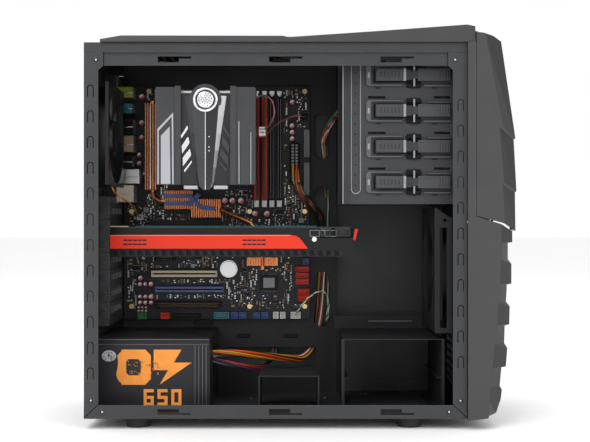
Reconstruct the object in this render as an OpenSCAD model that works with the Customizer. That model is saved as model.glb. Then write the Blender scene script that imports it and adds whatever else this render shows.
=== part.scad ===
// Desktop computer tower with its left side panel off: steel chassis, front bezel, board,
// processor cooler, graphics card, power supply, fans, drive bays and inner cables.
// X runs from the rear to the front, -Y is the open left side, +Z is up.
// The origin is the middle of the footprint, on the surface that the feet stand on.

/* [Case] */
// Length of the steel chassis, rear to front
chassis_l = 440; // [410:1:560]
// Width of the steel chassis
chassis_w = 218; // [212:1:300]
// Height of the steel chassis, without feet and top cover
chassis_h = 432; // [425:1:560]
// Thickness of the sheet steel
sheet = 1; // [0.6:0.1:1.4]
// Height of the rubber feet
foot_h = 12; // [8:1:30]
// Diameter of a rubber foot
foot_d = 31; // [20:1:40]
// Space behind the board tray for cables
back_space = 18; // [14:1:30]
// Diameter of the rivet heads
rivet_d = 7; // [4:0.5:9]

/* [Bezel and top cover] */
// Depth of the bezel in front of the chassis
bezel_d = 58; // [50:1:80]
// How far the bezel stands out past the chassis on each side
bezel_over = 6; // [5:0.5:12]
// Wall of the plastic mouldings
skin = 2.5; // [1.5:0.1:4]
// Height of the top cover above the chassis
cover_h = 36; // [34:1:60]
// How far the padlock loop stands out at the rear
loop_out = 8.5; // [8:0.5:20]

/* [Fans] */
// Side of the square case fans
fan_size = 120; // [92:1:122]
// Depth of the case fans
fan_depth = 25; // [18:1:26]
// Side of the fan inside the processor cooler
cooler_fan = 108; // [80:1:110]

/* [Drive bays] */
// Height of one front bay
bay_pitch = 41.9; // [40:0.1:44]
// Inside width of the front bays
bay_w = 149; // [145:1:152]
// Length of the front bay cage
bay_l = 142; // [120:1:150]
// Width of the lower drive cage, along the chassis
low_cage_l = 116.5; // [106:0.5:118]
// Height of the lower drive cage
low_cage_h = 87; // [60:1:90]
// Depth of the lower drive cage, across the chassis
low_cage_d = 140; // [110:1:150]

/* [Board] */
// Board length, bottom to top
board_l = 304.8; // [244:0.1:305]
// Board width, rear to front
board_w = 243.8; // [200:0.1:244]
// Pitch of the expansion slots
slot_pitch = 20.32; // [20.3:0.01:20.4]
// Height of the board standoffs
standoff_h = 6.4; // [5:0.1:8]

/* [Cooler] */
// Width of the cooler shroud along X
cooler_w = 117; // [114:1:122]
// Height of the cooler shroud along Z
cooler_h = 115.5; // [112:0.5:120]
// Distance from the board face to the top of the cooler
cooler_tall = 169; // [155:1:172]

/* [Graphics card] */
// Length of the card from its bracket
card_l = 309; // [260:1:320]
// Thickness of the card's cooler below its board
card_t = 35; // [30:1:36]

/* [Power supply] */
// Length of the power supply along X
psu_l = 140; // [130:1:160]
// Width of the power supply along Y
psu_w = 150; // [140:1:152]
// Height of the power supply
psu_h = 86; // [80:1:90]

/* [Hidden] */
$fn = 48;

// Case planes
rx = -(chassis_l + bezel_d - loop_out) / 2;
fx = rx + chassis_l;
ny = -chassis_w / 2;
fy = chassis_w / 2;
z0 = foot_h;
z1 = foot_h + chassis_h;
floor_z = z0 + sheet;
roof_z = z1 - sheet;
front_x = fx + bezel_d;
gap = 0.3;

// Folded frame around each side opening
flange_w = 16.5;
corner_w = 22;
rail_h = 15.7;
band_h = 11.5;
joggle = 2.5;
top_rail_h = 15;
tab_pitch = 29.5;
tab_w = 7.7;
tab_h = 14;
slit = 1.2;
hook_pitch = 128;
hook_slot_l = 24.6;
hook_run = 14;
hook_slot_h = 7;
hook_thin_h = 2.6;
first_hook_x = rx + 84.4;
panel_travel = 13;

// Board position
psu_y1 = fy - back_space - 5;
psu_y0 = psu_y1 - psu_w;
tray_y = fy - back_space - sheet;
pcb = 1.6;
board_y = tray_y - standoff_h - pcb;
tub_d = 14.5;
tub_x = rx + tub_d;
wall_x = tub_x + sheet;
board_x = wall_x + 2.1;
board_z = floor_z + psu_h + 11.5;
shelf_y = board_y - 109;
slot_z0 = board_z + 19;
slot_count = 7;
card_slot = 5;
io_z0 = board_z + 151.5;
io_h = 158.8;
io_y0 = board_y - 46.5;
io_y1 = board_y - 2;
tub_y1 = fy - 9;
tub_io_y0 = board_y - 51;

// Rear fan
rear_fan_y = tub_io_y0 - sheet - 5 - fan_size / 2;
rear_fan_z = board_z + 230.5;
rear_fan_x = rx + sheet;
// Front fan
front_fan_z = z0 + 169;
front_fan_x = fx - sheet - fan_depth;

// Bay cage
cage_x = fx - bay_l;
cage_y = -bay_w / 2 - sheet;
cage_z = z1 - 185;
bay_z0 = cage_z + 25.5;
lock_x = cage_x + 27.8;
lock_l = 99;
lock_pin_x = cage_x + 83.8;
lock_h = 25.5;
lever_h = 14.5;
lever_t = 4;
lever_gap = 0.6;
lock_base_t = 3.6;
lock_pin_r = 1.25;
run_fit = 0.06;

// Lower cages
low_x1 = fx - 24;
low_x0 = low_x1 - low_cage_l;
low_y0 = -74;
ssd_l = 70;
ssd_h = 43.5;
ssd_d = 76;
ssd_x0 = low_x0 - 99.5;

// Cooler
cooler_x = board_x + 120;
cooler_z = board_z + 228.7;
socket_h = 4;
chip_h = 4;
cooler_base_t = 12;
base_y = board_y - socket_h - chip_h - cooler_base_t;
cooler_top = board_y - cooler_tall;

// Card
card_z = slot_z0 + card_slot * slot_pitch;
card_y0 = board_y - 110;
card_x1 = wall_x + card_l;
card_under = card_z - pcb / 2;
blower_x = card_x1 - 52;
blower_y = card_y0 + 52;
blower_r = 31;

// Power supply
psu_x0 = rx + sheet;
psu_z0 = floor_z;
psu_fan_x = psu_x0 + psu_l / 2;
psu_fan_y = (psu_y0 + psu_y1) / 2;

function slot_z(i) = slot_z0 + i * slot_pitch;
function bay_z(i) = bay_z0 + i * bay_pitch;

// ---------------------------------------------------------------- shared shapes

module box(a, b) {
    translate(a) cube(b - a);
}

module rect(a, b) {
    translate(a) square(b - a);
}

// A plate across Y from an outline drawn in X and Z
module plate_xz(y, t) {
    translate([0, y + t, 0]) rotate([90, 0, 0]) linear_extrude(t) children();
}

// A plate across X from an outline drawn in Y and Z
module plate_yz(x, t) {
    translate([x, 0, 0]) rotate([90, 0, 90]) linear_extrude(t) children();
}

module rod_x(x0, x1, y, z, r) {
    translate([x0, y, z]) rotate([0, 90, 0]) cylinder(h = x1 - x0, r = r);
}

module rod_y(x, y0, y1, z, r) {
    translate([x, y0, z]) rotate([-90, 0, 0]) cylinder(h = y1 - y0, r = r);
}

module rod_z(x, y, z0, z1, r) {
    translate([x, y, z0]) cylinder(h = z1 - z0, r = r);
}

// Arch with a round top, its foot at the origin
module arch(w, h) {
    translate([0, h - w / 2]) circle(d = w);
    rect([-w / 2, 0], [w / 2, h - w / 2]);
}

// The slit around one pressed spring tab
module tab_slit() {
    difference() {
        arch(tab_w, tab_h);
        translate([0, -1]) arch(tab_w - 2 * slit, tab_h - slit + 1);
    }
}

// Slot for a side-panel hook: a tall entry and a thin run towards the front
module hook_slot(up) {
    rect([0, 0], [hook_slot_l, hook_slot_h]);
    thin_z = up ? hook_slot_h - hook_thin_h : 0;
    rect([0, thin_z], [hook_slot_l + hook_run, thin_z + hook_thin_h]);
}

module hook_slots(z, up) {
    for (i = [0:2]) {
        translate([first_hook_x + i * hook_pitch, z]) hook_slot(up);
    }
}

// Upright flange at one end of a side opening, with mitred foot; dir is 1 at the rear
module end_flange(x, dir, count, first_z) {
    difference() {
        polygon([[x, z0 + sheet + gap], [x + dir * flange_w, z0 + rail_h + sheet + gap],
            [x + dir * flange_w, z1 - 32], [x + dir * corner_w, z1 - 27],
            [x + dir * corner_w, z1 - band_h - gap], [x, z1 - band_h - gap]]);
        for (i = [0:count - 1]) {
            translate([x + dir * 7.5, first_z - i * tab_pitch]) tab_slit();
        }
    }
}

// Square fan frame with open corners, its rear face at z = 0
module fan_frame(size, depth, hub_r) {
    flange_t = 4;
    bore_r = size / 2 - 3;
    difference() {
        union() {
            for (z = [0, depth - flange_t]) {
                translate([-size / 2, -size / 2, z]) cube([size, size, flange_t]);
            }
            cylinder(h = depth, r = size / 2);
        }
        translate([0, 0, -1]) cylinder(h = depth + 2, r = bore_r);
        for (sx = [-1, 1], sy = [-1, 1]) {
            translate([sx, sy, 0] * size * 0.4375 + [0, 0, -1]) cylinder(h = depth + 2, r = 2.2);
        }
    }
    difference() {
        union() {
            cylinder(h = 2, r = hub_r);
            for (a = [20:90:290]) {
                rotate(a) translate([hub_r - 2, -2, 0]) cube([bore_r - hub_r + 3, 4, 3]);
            }
            cylinder(h = 12, r = 4.5);
        }
        translate([0, 0, 1]) cylinder(h = 20, r = 1.5 + run_fit);
    }
}

// Rotor that turns on the frame's bearing; its shaft is 1.5 mm in radius
module fan_rotor(size, depth, hub_r, blades) {
    tip = size / 2 - 5.5;
    blade_w = min(26, depth * 0.95);
    cap_z = depth - 3.5;
    difference() {
        translate([0, 0, 3.2]) cylinder(h = cap_z + 2.5 - 3.2, r = hub_r);
        translate([0, 0, 3]) cylinder(h = cap_z - 3, r = hub_r - 1.6);
    }
    translate([0, 0, 2]) cylinder(h = cap_z - 1, r = 1.5);
    for (i = [0:blades - 1]) {
        rotate(i * 360 / blades) translate([hub_r - 1, 0, depth / 2]) rotate([38, 0, 0])
            translate([0, -blade_w / 2, -0.7]) cube([tip - hub_r - 1, blade_w, 1.4]);
    }
}

// One solid through level outlines of equal length, each symmetric about Y = 0
module loft(levels) {
    n = len(levels[0]);
    m = len(levels);
    points = [for (level = levels) for (p = level) p];
    sides = [for (i = [0:m - 2]) for (j = [0:n - 1])
        let (a = i * n + j, b = i * n + (j + 1) % n) each [[a, b, b + n], [a, b + n, a + n]]];
    ends = [for (k = [0:n / 2 - 2]) each [[n - 1 - k, n - 2 - k, k + 1, k],
        [for (j = [k, k + 1, n - 2 - k, n - 1 - k]) (m - 1) * n + j]]];
    polyhedron(points, concat(sides, ends), convexity = 6);
}

// ---------------------------------------------------------------- chassis

module rail_outline() {
    polygon([[rx, z0], [fx, z0], [fx - flange_w, z0 + rail_h], [rx + flange_w, z0 + rail_h]]);
}

module side_rail(y) {
    plate_xz(y, sheet) difference() {
        rail_outline();
        hook_slots(z0 + 4.2, false);
    }
}

module base_pan() color([0.2, 0.2, 0.21]) {
    difference() {
        box([rx, ny, z0], [fx, fy, floor_z]);
        for (i = [-5:5]) {
            box([psu_fan_x + i * 10 - 3, psu_fan_y - 42, z0 - 1],
                [psu_fan_x + i * 10 + 3, psu_fan_y + 42, floor_z + 1]);
        }
        for (x = [rx + 60, fx - 64.5], y = [ny + 24, fy - 24]) {
            rod_z(x, y, z0 - 1, floor_z + 1, 2.2);
        }
    }
    side_rail(ny);
    side_rail(fy - sheet);
}

// Outline of the pressed-in part of the rear wall, in Y and Z
module tub_outline(grow) {
    rect([shelf_y + sheet - grow, board_z + 1.5 - grow], [tub_y1 + grow, board_z + 157.5 + grow]);
    rect([tub_io_y0 - grow, board_z + 110], [tub_y1 + grow, io_z0 + io_h + 3 + grow]);
}

module fan_grille(y, z, size) {
    difference() {
        translate([y, z]) circle(r = size / 2 - 3);
        for (r = [10:11:size / 2 - 8]) {
            translate([y, z]) difference() {
                circle(r = r + 1);
                circle(r = r - 1);
            }
        }
        for (a = [45, 135]) {
            translate([y, z]) rotate(a) square([size, 3], center = true);
        }
    }
    for (sy = [-1, 1], sz = [-1, 1]) {
        translate([y, z] + [sy, sz] * size * 0.4375) circle(r = 2.2);
    }
}

module rear_panel() color([0.2, 0.2, 0.21]) {
    plate_yz(rx, sheet) difference() {
        rect([ny + sheet, floor_z], [fy - sheet, roof_z]);
        tub_outline(0);
        fan_grille(rear_fan_y, rear_fan_z, fan_size);
        rect([psu_y0 + 12, psu_z0 + 9], [psu_y1 - 12, psu_z0 + psu_h - 9]);
        for (y = [psu_y0 + 6, psu_y1 - 6], z = [psu_z0 + 6, psu_z0 + psu_h - 6]) {
            translate([y, z]) circle(r = 1.9);
        }
        for (z = [z0 + 60, z1 - 60]) {
            translate([fy - 5, z]) circle(r = 1.9);
        }
    }
    plate_yz(rx, tub_d + sheet) difference() {
        tub_outline(sheet);
        tub_outline(0);
    }
    plate_yz(tub_x, sheet) difference() {
        tub_outline(0.01);
        rect([io_y0, io_z0], [io_y1, io_z0 + io_h]);
        for (i = [0:slot_count - 1]) {
            rect([shelf_y + 6, slot_z(i) - 6.5], [board_y - 4, slot_z(i) + 6.5]);
        }
    }
    for (y = [ny, fy - sheet]) {
        plate_xz(y, sheet) end_flange(rx, 1, 12, z1 - 62.5);
    }
}

module roof_side(y, dir) {
    in_y = y + dir * joggle;
    plate_xz(min(y, y + dir * sheet), sheet) rect([rx, z1 - band_h], [fx, z1]);
    box([rx + corner_w + gap, min(y, in_y + dir * sheet), z1 - band_h],
        [fx - corner_w - gap, max(y, in_y + dir * sheet), z1 - band_h + sheet]);
    plate_xz(min(in_y, in_y + dir * sheet), sheet) difference() {
        rect([rx + corner_w + gap, z1 - band_h - top_rail_h],
            [fx - corner_w - gap, z1 - band_h + sheet]);
        hook_slots(z1 - 22.8, true);
    }
}

module roof_panel() color([0.2, 0.2, 0.21]) {
    roof_fan_x = rx + 142;
    difference() {
        box([rx, ny, roof_z], [fx, fy, z1]);
        translate([0, 0, roof_z - 1]) linear_extrude(sheet + 2) {
            for (i = [-8:8]) {
                half = sqrt(85 * 85 - i * i * 100);
                rect([roof_fan_x + i * 10 - 3.4, -half], [roof_fan_x + i * 10 + 3.4, -2]);
                rect([roof_fan_x + i * 10 - 3.4, 2], [roof_fan_x + i * 10 + 3.4, half]);
            }
        }
    }
    roof_side(ny, 1);
    roof_side(fy, -1);
}

module front_plate() color([0.2, 0.2, 0.21]) {
    plate_yz(fx - sheet, sheet) difference() {
        rect([ny + sheet, floor_z], [fy - sheet, roof_z]);
        rect([-bay_w / 2, cage_z + 4], [bay_w / 2, cage_z + 4 + 4 * bay_pitch]);
        fan_grille(0, front_fan_z, fan_size);
        translate([87, z1 - 24]) circle(r = 7);
        for (i = [0:6]) {
            rect([-60, z0 + 24 + i * 10], [60, z0 + 30 + i * 10]);
        }
    }
    for (y = [ny, fy - sheet]) {
        plate_xz(y, sheet) end_flange(fx, -1, 11, z1 - 79);
    }
}

module board_tray() color([0.17, 0.17, 0.18]) {
    edge_x = board_x + board_w + 35.5;
    hole_x0 = board_x + board_w + 6;
    hole_x1 = hole_x0 + 20.5;
    tray_x0 = wall_x + gap;
    plate_xz(tray_y, sheet) difference() {
        rect([tray_x0, floor_z], [edge_x, roof_z]);
        for (span = [[211, 272], [115, 173.5], [-10, 61]]) {
            low_z = board_z + span[0];
            high_z = board_z + span[1];
            rect([hole_x0, low_z + 4], [hole_x1, high_z - 4]);
            rect([hole_x0 + 4, low_z], [hole_x1 - 4, high_z]);
        }
        rect([cooler_x - 50, cooler_z - 55], [cooler_x + 50, cooler_z + 55]);
        rect([board_x + 135, floor_z + 33.5], [board_x + 252, floor_z + 59.5]);
        rect([board_x + 91, board_z - 20], [board_x + 117, board_z - 2]);
        for (x = [board_x + 148, board_x + 210]) {
            rect([x, board_z - 26], [x + 18, board_z - 24.2]);
            rect([x, board_z - 22.8], [x + 18, board_z - 21]);
        }
    }
    box([edge_x - sheet, tray_y, floor_z], [edge_x, tray_y + 10, roof_z]);
}

// Rivet heads on both side openings and the blind stems behind them
module chassis_rivets() color([0.55, 0.55, 0.57]) {
    spots = [[rx + 14, z1 - 20], [rx + 8, z0 + 21], [rx + 21, z0 + 8],
        [fx - 14, z1 - 20], [fx - 8, z0 + 21], [fx - 21, z0 + 8]];
    rivet_t = 0.6;
    for (p = spots, side = [-1, 1]) {
        y = side > 0 ? fy : ny;
        difference() {
            rod_y(p[0], min(y, y + side * rivet_t), max(y, y + side * rivet_t), p[1], rivet_d / 2);
            rod_y(p[0], y - 2, y + 2, p[1], 1.4);
        }
    }
}

module feet() color([0.09, 0.09, 0.09]) {
    for (x = [rx + 60, fx - 64.5], y = [ny + 24, fy - 24]) {
        translate([x, y, 0]) difference() {
            union() {
                cylinder(h = foot_h, r1 = foot_d / 2 - 1.5, r2 = foot_d / 2, $fn = 64);
                cylinder(h = foot_h + sheet, r = 2.1);
            }
            translate([0, 0, -1]) cylinder(h = 5, r = 5);
        }
    }
}

// Right side panel: flat skin, rear fold for the screws, and hooks that enter the rails
module side_panel() color([0.22, 0.22, 0.23]) {
    skin_y = fy + 1;
    panel_t = 1.2;
    top_z = z1 - band_h - 1;
    box([rx - 1.6, skin_y, z0 + 1], [fx - 0.5, skin_y + panel_t, top_z]);
    difference() {
        box([rx - 1.6, fy - 12, z0 + 1], [rx - 0.4, skin_y + panel_t, top_z]);
        for (z = [z0 + 60, z1 - 60]) {
            rod_x(rx - 3, rx + 1, fy - 5, z, 1.6);
        }
    }
    for (i = [0:2]) {
        x0 = first_hook_x + i * hook_pitch + hook_slot_l + 1;
        hook_l = 11;
        low_z = z0 + 4.2 + hook_thin_h / 2;
        top_hook_z = z1 - 22.8 + hook_slot_h - hook_thin_h / 2;
        box([x0, fy - sheet - 2.6, low_z - 0.8], [x0 + hook_l, skin_y + 0.1, low_z + 0.8]);
        box([x0, fy - sheet - 2.6, low_z - 0.8], [x0 + hook_l, fy - sheet - 1.2, low_z + 4]);
        top_in_y = fy - joggle - sheet - 2.6;
        box([x0, top_in_y, top_hook_z - 0.8], [x0 + hook_l, skin_y + 0.1, top_hook_z + 0.8]);
        box([x0, top_in_y, top_hook_z - 4], [x0 + hook_l, top_in_y + 1.4, top_hook_z + 0.8]);
    }
}

module thumbscrews() color([0.12, 0.12, 0.12]) {
    for (z = [z0 + 60, z1 - 60]) {
        difference() {
            rod_x(rx - 7.6, rx - 1.6, fy - 5, z, 5);
            for (a = [0:30:330]) {
                translate([rx - 8, fy - 5, z]) rotate([a, 0, 0]) translate([0, 0, 5])
                    cube([8, 1, 0.8], center = true);
            }
            box([rx - 8, fy - 9, z - 0.6], [rx - 6.6, fy - 1, z + 0.6]);
        }
        rod_x(rx - 1.6, rx + sheet + 2, fy - 5, z, 1.5);
    }
}

// ---------------------------------------------------------------- top cover and bezel

cover_edge = chassis_w / 2 + 4;
cover_end = fx + 9.4;
rib_y = chassis_w / 2 - 5;
// Height of the flat rear of the cover above the chassis
crown_rear = 12.6;

// The cover is two shells in one: flat shoulders with near-upright sides, and a low crown
module cover_solid(in) {
    edge = cover_edge - in;
    low = z1 - min(in, 1);
    end = cover_end + min(in, 1);
    intersection() {
        plate_xz(-edge, 2 * edge) polygon([[rx + 19 + in, low], [rx + 19 + in, z1 + 3.2 - in],
            [rx + 43 + in, z1 + 7.6 - in], [rx + 229, z1 + 7.2 - in],
            [rx + 236, z1 + 5 - in], [rx + 242, z1 + 5.6 - in],
            [end - 9, z1 + cover_h - 15 - in], [end, z1 + cover_h - 17 - in], [end, low]]);
        plate_yz(rx, end - rx) polygon([[-edge, low], [-edge, z1 + 2 - in / 2],
            [-edge + 13, z1 + cover_h], [edge - 13, z1 + cover_h],
            [edge, z1 + 2 - in / 2], [edge, low]]);
    }
    intersection() {
        plate_xz(-edge, 2 * edge) polygon([[rx + 30 + in, low], [rx + 30 + in, z1 + 6 - in],
            [rx + 50 + in, z1 + crown_rear - in], [rx + 240, z1 + crown_rear - in],
            [end, z1 + cover_h - in], [end, low]]);
        plate_yz(rx, end - rx) polygon([[in - 98, low], [in - 98, z1 + 2 - in],
            [-60, z1 + cover_h - 19 - in], [-30, z1 + cover_h - 7 - in],
            [-8, z1 + cover_h - in], [8, z1 + cover_h - in], [30, z1 + cover_h - 7 - in],
            [60, z1 + cover_h - 19 - in], [98 - in, z1 + 2 - in], [98 - in, low]]);
    }
}

module top_cover() color([0.16, 0.16, 0.17]) {
    difference() {
        cover_solid(0);
        cover_solid(skin);
        box([rx + 55, -56, z1 - 1], [rx + 215, 56, z1 + cover_h]);
    }
    // Ribs: place along the cover and height
    for (rib = [[44, 6], [222, 6], [330, 11]]) {
        box([rx + rib[0], -rib_y, z1], [rx + rib[0] + 2, rib_y, z1 + rib[1]]);
    }
}

// Bezel outline: [height above the floor, reach of the flat side, reach of the front face],
// the reaches measured forwards from the chassis
bezel_low = [[1.5, 23.6, 27], [5.5, 24, 35], [20.7, 24.6, 40.5], [32.3, 25.6, 42],
    [36.6, 26, 39.5], [58, 28.2, 41.5], [59, 28.4, 46.8], [80.3, 30.6, 48.5], [86, 31.2, 44.8],
    [106, 33, 45.4], [107.7, 33.2, 50.8], [128.5, 35.2, 51.3], [133.8, 35.6, 47],
    [153.4, 36.8, 47.8], [154.7, 37, 53.2], [177.6, 38.5, 53.2], [183, 38.6, 49],
    [201.7, 38.6, 49], [202.5, 38.6, 54.3]];
// The scales above also give how far each crease rises to the flat side and on to the seam
bezel_high = [[215.7, 42.8, 58, 8.5, 17.2], [260, 40.4, 57.4, 9, 17], [261.5, 42, 59.2, 9, 17],
    [321.3, 36.6, 55.9, 12.6, 19], [322.4, 40.6, 58, 12.6, 19], [432.4, 22, 41.4, 0, 0],
    [472, 15.5, 35.5, 0, 0]];
reach_scale = bezel_d / 59.2;
corner_in = 15;

function bezel_section(p, in, back) = let (side = fx + p[1] * reach_scale - in,
    face = fx + p[2] * reach_scale - in, half = chassis_w / 2 + bezel_over - in, z = z0 + p[0],
    side_z = z + (len(p) > 3 ? p[3] : 0), back_z = z + (len(p) > 3 ? p[4] : 0))
    [[back, -half, back_z], [side, -half, side_z], [face, -half + corner_in, z],
    [face, half - corner_in, z], [side, half, side_z], [back, half, back_z]];

function flip(levels) = [for (level = levels) [for (i = [len(level) - 1:-1:0]) level[i]]];

// Vertical stretch of the bezel that follows the chassis height
stretch = chassis_h - 432;
function raise(points, i) = [for (p = points) [p[0] + (p == points[0] ? i : 0) + stretch,
    p[1], p[2], p[3], p[4]]];

module bezel_solid(points, in, back) {
    loft(flip([for (p = points) bezel_section(p, in, back)]));
}

function low_points(foot, head) = concat([[foot, 3, 4]], bezel_low,
    [[bezel_high[0][0] + stretch - 0.6 + head, 38.6, 54.3, 8.5, 20]]);
seam_z = z0 + bezel_high[0][0] + stretch;
mesh_half = 77;
port_angle = 32;

module front_bezel() color([0.17, 0.17, 0.18]) {
    difference() {
        union() {
            bezel_solid(low_points(-1, 0), 0, fx);
            box([fx, -chassis_w / 2 - bezel_over, seam_z - 1],
                [cover_end, chassis_w / 2 + bezel_over, z1 - gap]);
        }
        bezel_solid(low_points(1.4, 3), skin, fx - 1);
        box([fx - 1, ny + 4, seam_z - 5], [fx + 12, fy - 4, z1 - 4]);
        box([fx + 20, -mesh_half, z0 + 26], [front_x + 5, mesh_half, seam_z + 5]);
    }
}

module port_frame() {
    translate([fx + 33, 0, z1 + 10.6]) rotate([0, port_angle, 0]) children();
}

// Crown of the armour: it carries on the cover's shoulders and dips towards the front
function crown_section(x, h, edge, in) = let (side = chassis_w / 2 + bezel_over + 1,
    rise = h - edge, low = z1 + edge - in)
    [[x, -side, z0], [x, -side, low], [x, -60, low + 0.45 * rise], [x, -30, low + 0.8 * rise],
    [x, -8, low + rise], [x, 8, low + rise], [x, 30, low + 0.8 * rise],
    [x, 60, low + 0.45 * rise], [x, side, low], [x, side, z0]];

module armour_solid(in) {
    intersection() {
        bezel_solid(raise(bezel_high, -in), in, armour_x - in);
        loft([crown_section(fx, cover_h - 0.5, 12, in), crown_section(fx + 18, cover_h - 4, 10, in),
            crown_section(fx + 30, cover_h - 7.6, 6, in), crown_section(fx + 70, -12, -8, in)]);
    }
}

armour_x = cover_end + 0.4;

module front_armour() color([0.18, 0.18, 0.19]) {
    difference() {
        union() {
            difference() {
                armour_solid(0);
                armour_solid(skin);
            }
            intersection() {
                armour_solid(0);
                port_frame() box([-14 - skin, -52 - skin, -8], [9 + skin, 52 + skin, 30]);
            }
        }
        box([fx + 20, -mesh_half, seam_z - 5], [front_x + 5, mesh_half, z1 - 12]);
        port_frame() box([-14, -52, -30], [9, 52, 30]);
    }
}

// Panel with the front sockets: two USB, two audio, and openings for the buttons
module port_panel() color([0.1, 0.1, 0.1]) {
    port_frame() difference() {
        box([-14, -52, -8], [9, 52, 1]);
        for (y = [-12, 8]) {
            box([-9, y, -6], [-3, y + 14, 3]);
        }
        for (y = [-6, 14]) {
            translate([3.5, y, -6]) cylinder(h = 10, r = 1.8);
        }
        box([-10.2, -46.2, -9], [2.2, -25.8, 3]);
        box([-7.2, 31.8, -9], [0.2, 44.2, 3]);
    }
}

module power_button() color([0.25, 0.25, 0.26]) {
    port_frame() {
        box([-10, -46, -5], [2, -26, 3]);
        box([-11.5, -47.5, -11.5], [3.5, -24.5, -9.5]);
        box([-6, -40, -10], [-2, -32, -4]);
    }
}

module reset_button() color([0.25, 0.25, 0.26]) {
    port_frame() {
        box([-7, 32, -5], [0, 44, 2.4]);
        box([-8.5, 30.5, -11.5], [1.5, 45.5, -9.5]);
        box([-5, 36, -10], [-2, 40, -4]);
    }
}

// Pressed grille panels: one in the top cover, one in the lower bezel
module mesh_panels() color([0.12, 0.12, 0.12]) {
    mesh_z = z1 + crown_rear - 1;
    difference() {
        box([rx + 55.5, -55.5, mesh_z - 1.2], [rx + 214.5, 55.5, mesh_z]);
        for (i = [0:14], j = [-4:4]) {
            box([rx + 60 + i * 10, j * 12 - 5, mesh_z - 3], [rx + 68 + i * 10, j * 12 + 5, mesh_z + 1]);
        }
    }
    lower_x = fx + 33;
    difference() {
        box([lower_x, -mesh_half - 6, z0 + 27], [lower_x + 1.2, mesh_half + 6, bay_z0 - 21.4]);
        for (i = [0:18], j = [-5:5]) {
            box([lower_x - 1, j * 13 - 5.5, z0 + 34 + i * 11],
                [lower_x + 3, j * 13 + 5.5, z0 + 43 + i * 11]);
        }
    }
}

module bay_covers() color([0.13, 0.13, 0.13]) {
    cover_x = fx + 26;
    for (i = [0:3]) {
        z = bay_z(i);
        difference() {
            box([cover_x, -bay_w / 2 + 0.5, z - 20.6], [cover_x + 12, bay_w / 2 - 0.5, z + 20.6]);
            box([cover_x - 1, -bay_w / 2 + 3, z - 18.4], [cover_x + 10, bay_w / 2 - 3, z + 18.4]);
            for (j = [-6:6], k = [-1:1]) {
                box([cover_x + 8, j * 10 - 4, z + k * 11 - 4], [cover_x + 14, j * 10 + 4, z + k * 11 + 4]);
            }
        }
    }
}

// ---------------------------------------------------------------- cages and locks

module bay_cage() color([0.28, 0.28, 0.29]) {
    plate_xz(cage_y, sheet) difference() {
        rect([cage_x, cage_z], [fx - sheet, roof_z]);
        for (i = [0:3]) {
            z = bay_z(i);
            rect([lock_pin_x - 8.4, z - 14.8], [lock_pin_x + 8.4, z + 14.8]);
            rect([lock_x + 9, z - lever_h / 2 - 1], [lock_pin_x, z + lever_h / 2 + 1]);
            translate([lock_x + 89, z]) circle(r = 4);
            rect([lock_x + 2.3, z + 14.6], [lock_x + 23, z + 17.6]);
            rect([lock_x + 80, z + 14.6], [lock_x + 99, z + 17.6]);
        }
        for (k = [0:12]) {
            translate([cage_x + 15.2, cage_z + 22 + k * 12]) circle(r = 0.9);
        }
    }
    box([cage_x, cage_y - 2.2, cage_z], [cage_x + sheet, cage_y, roof_z]);
    box([cage_x + 7, cage_y - 2.2, cage_z], [cage_x + 8, cage_y, roof_z]);
    for (x = [cage_x + 9.6, cage_x + 19.8]) {
        box([x, cage_y - 0.9, cage_z + 13], [x + 1.2, cage_y, roof_z]);
    }
    box([cage_x, -cage_y - sheet, cage_z], [fx - sheet, -cage_y, roof_z]);
    box([cage_x, cage_y, cage_z], [fx - sheet, -cage_y, cage_z + sheet]);
    for (i = [1:3], side = [-1, 1]) {
        z = bay_z(i) - bay_pitch / 2;
        y = side * (bay_w / 2 - 2);
        box([cage_x + 12, y - 2, z - 0.5], [fx - 12, y + 2, z + 0.5]);
    }
}

// Fixed plastic frame of one bay lock, with its hinge pin
module lock_base(i) {
    z = bay_z(i);
    y1 = cage_y;
    y0 = y1 - lock_base_t;
    pin_y = y0 - lever_gap - lever_t / 2;
    difference() {
        box([lock_x, y0, z - lock_h / 2], [lock_x + lock_l, y1, z + lock_h / 2]);
        box([lock_x + 9, y0 - 1, z - lever_h / 2 - 1],
            [lock_x + lock_l + 1, y1 + 1, z + lever_h / 2 + 1]);
        box([lock_pin_x - 8.4, y0 - 1, z - 12], [lock_pin_x + 8.4, y1 + 1, z + 12]);
    }
    for (side = [-1, 1]) {
        ear_z = z + side * 12.4;
        box([lock_pin_x - 9, pin_y - 2, ear_z - 1.2], [lock_pin_x + 9, y1, ear_z + 1.2]);
    }
    rod_z(lock_pin_x, pin_y, z - 12.4, z + 12.4, lock_pin_r);
}

module bay_lock_bases() color([0.13, 0.13, 0.13]) {
    for (i = [0:3]) {
        lock_base(i);
    }
}

// Rocking lever: press the left end and the right end draws its pin out of the drive
module lock_lever(i) {
    z = bay_z(i);
    y1 = cage_y - lock_base_t - lever_gap;
    y0 = y1 - lever_t;
    difference() {
        union() {
            box([lock_x + 11, y0, z - lever_h / 2], [lock_x + 98, y1, z + lever_h / 2]);
            box([lock_x + 12, y0 - 1, z - lever_h / 2 + 1],
                [lock_x + 42, y0 + 1, z + lever_h / 2 - 1]);
            rod_z(lock_pin_x, (y0 + y1) / 2, z - lever_h / 2, z + lever_h / 2, 3.2);
            rod_y(lock_x + 89, y1 - 1, cage_y + 2, z, 2);
        }
        rod_z(lock_pin_x, (y0 + y1) / 2, z - lever_h, z + lever_h, lock_pin_r + run_fit);
        box([lock_x + 44, y0 - 1, z - 9], [lock_x + 46, y0 + 1, z + 9]);
        for (k = [0:3]) {
            box([lock_x + 84 + k * 3.4, y0 - 1, z - 4.5], [lock_x + 85.6 + k * 3.4, y0 + 0.7, z + 4.5]);
        }
    }
}

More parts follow.
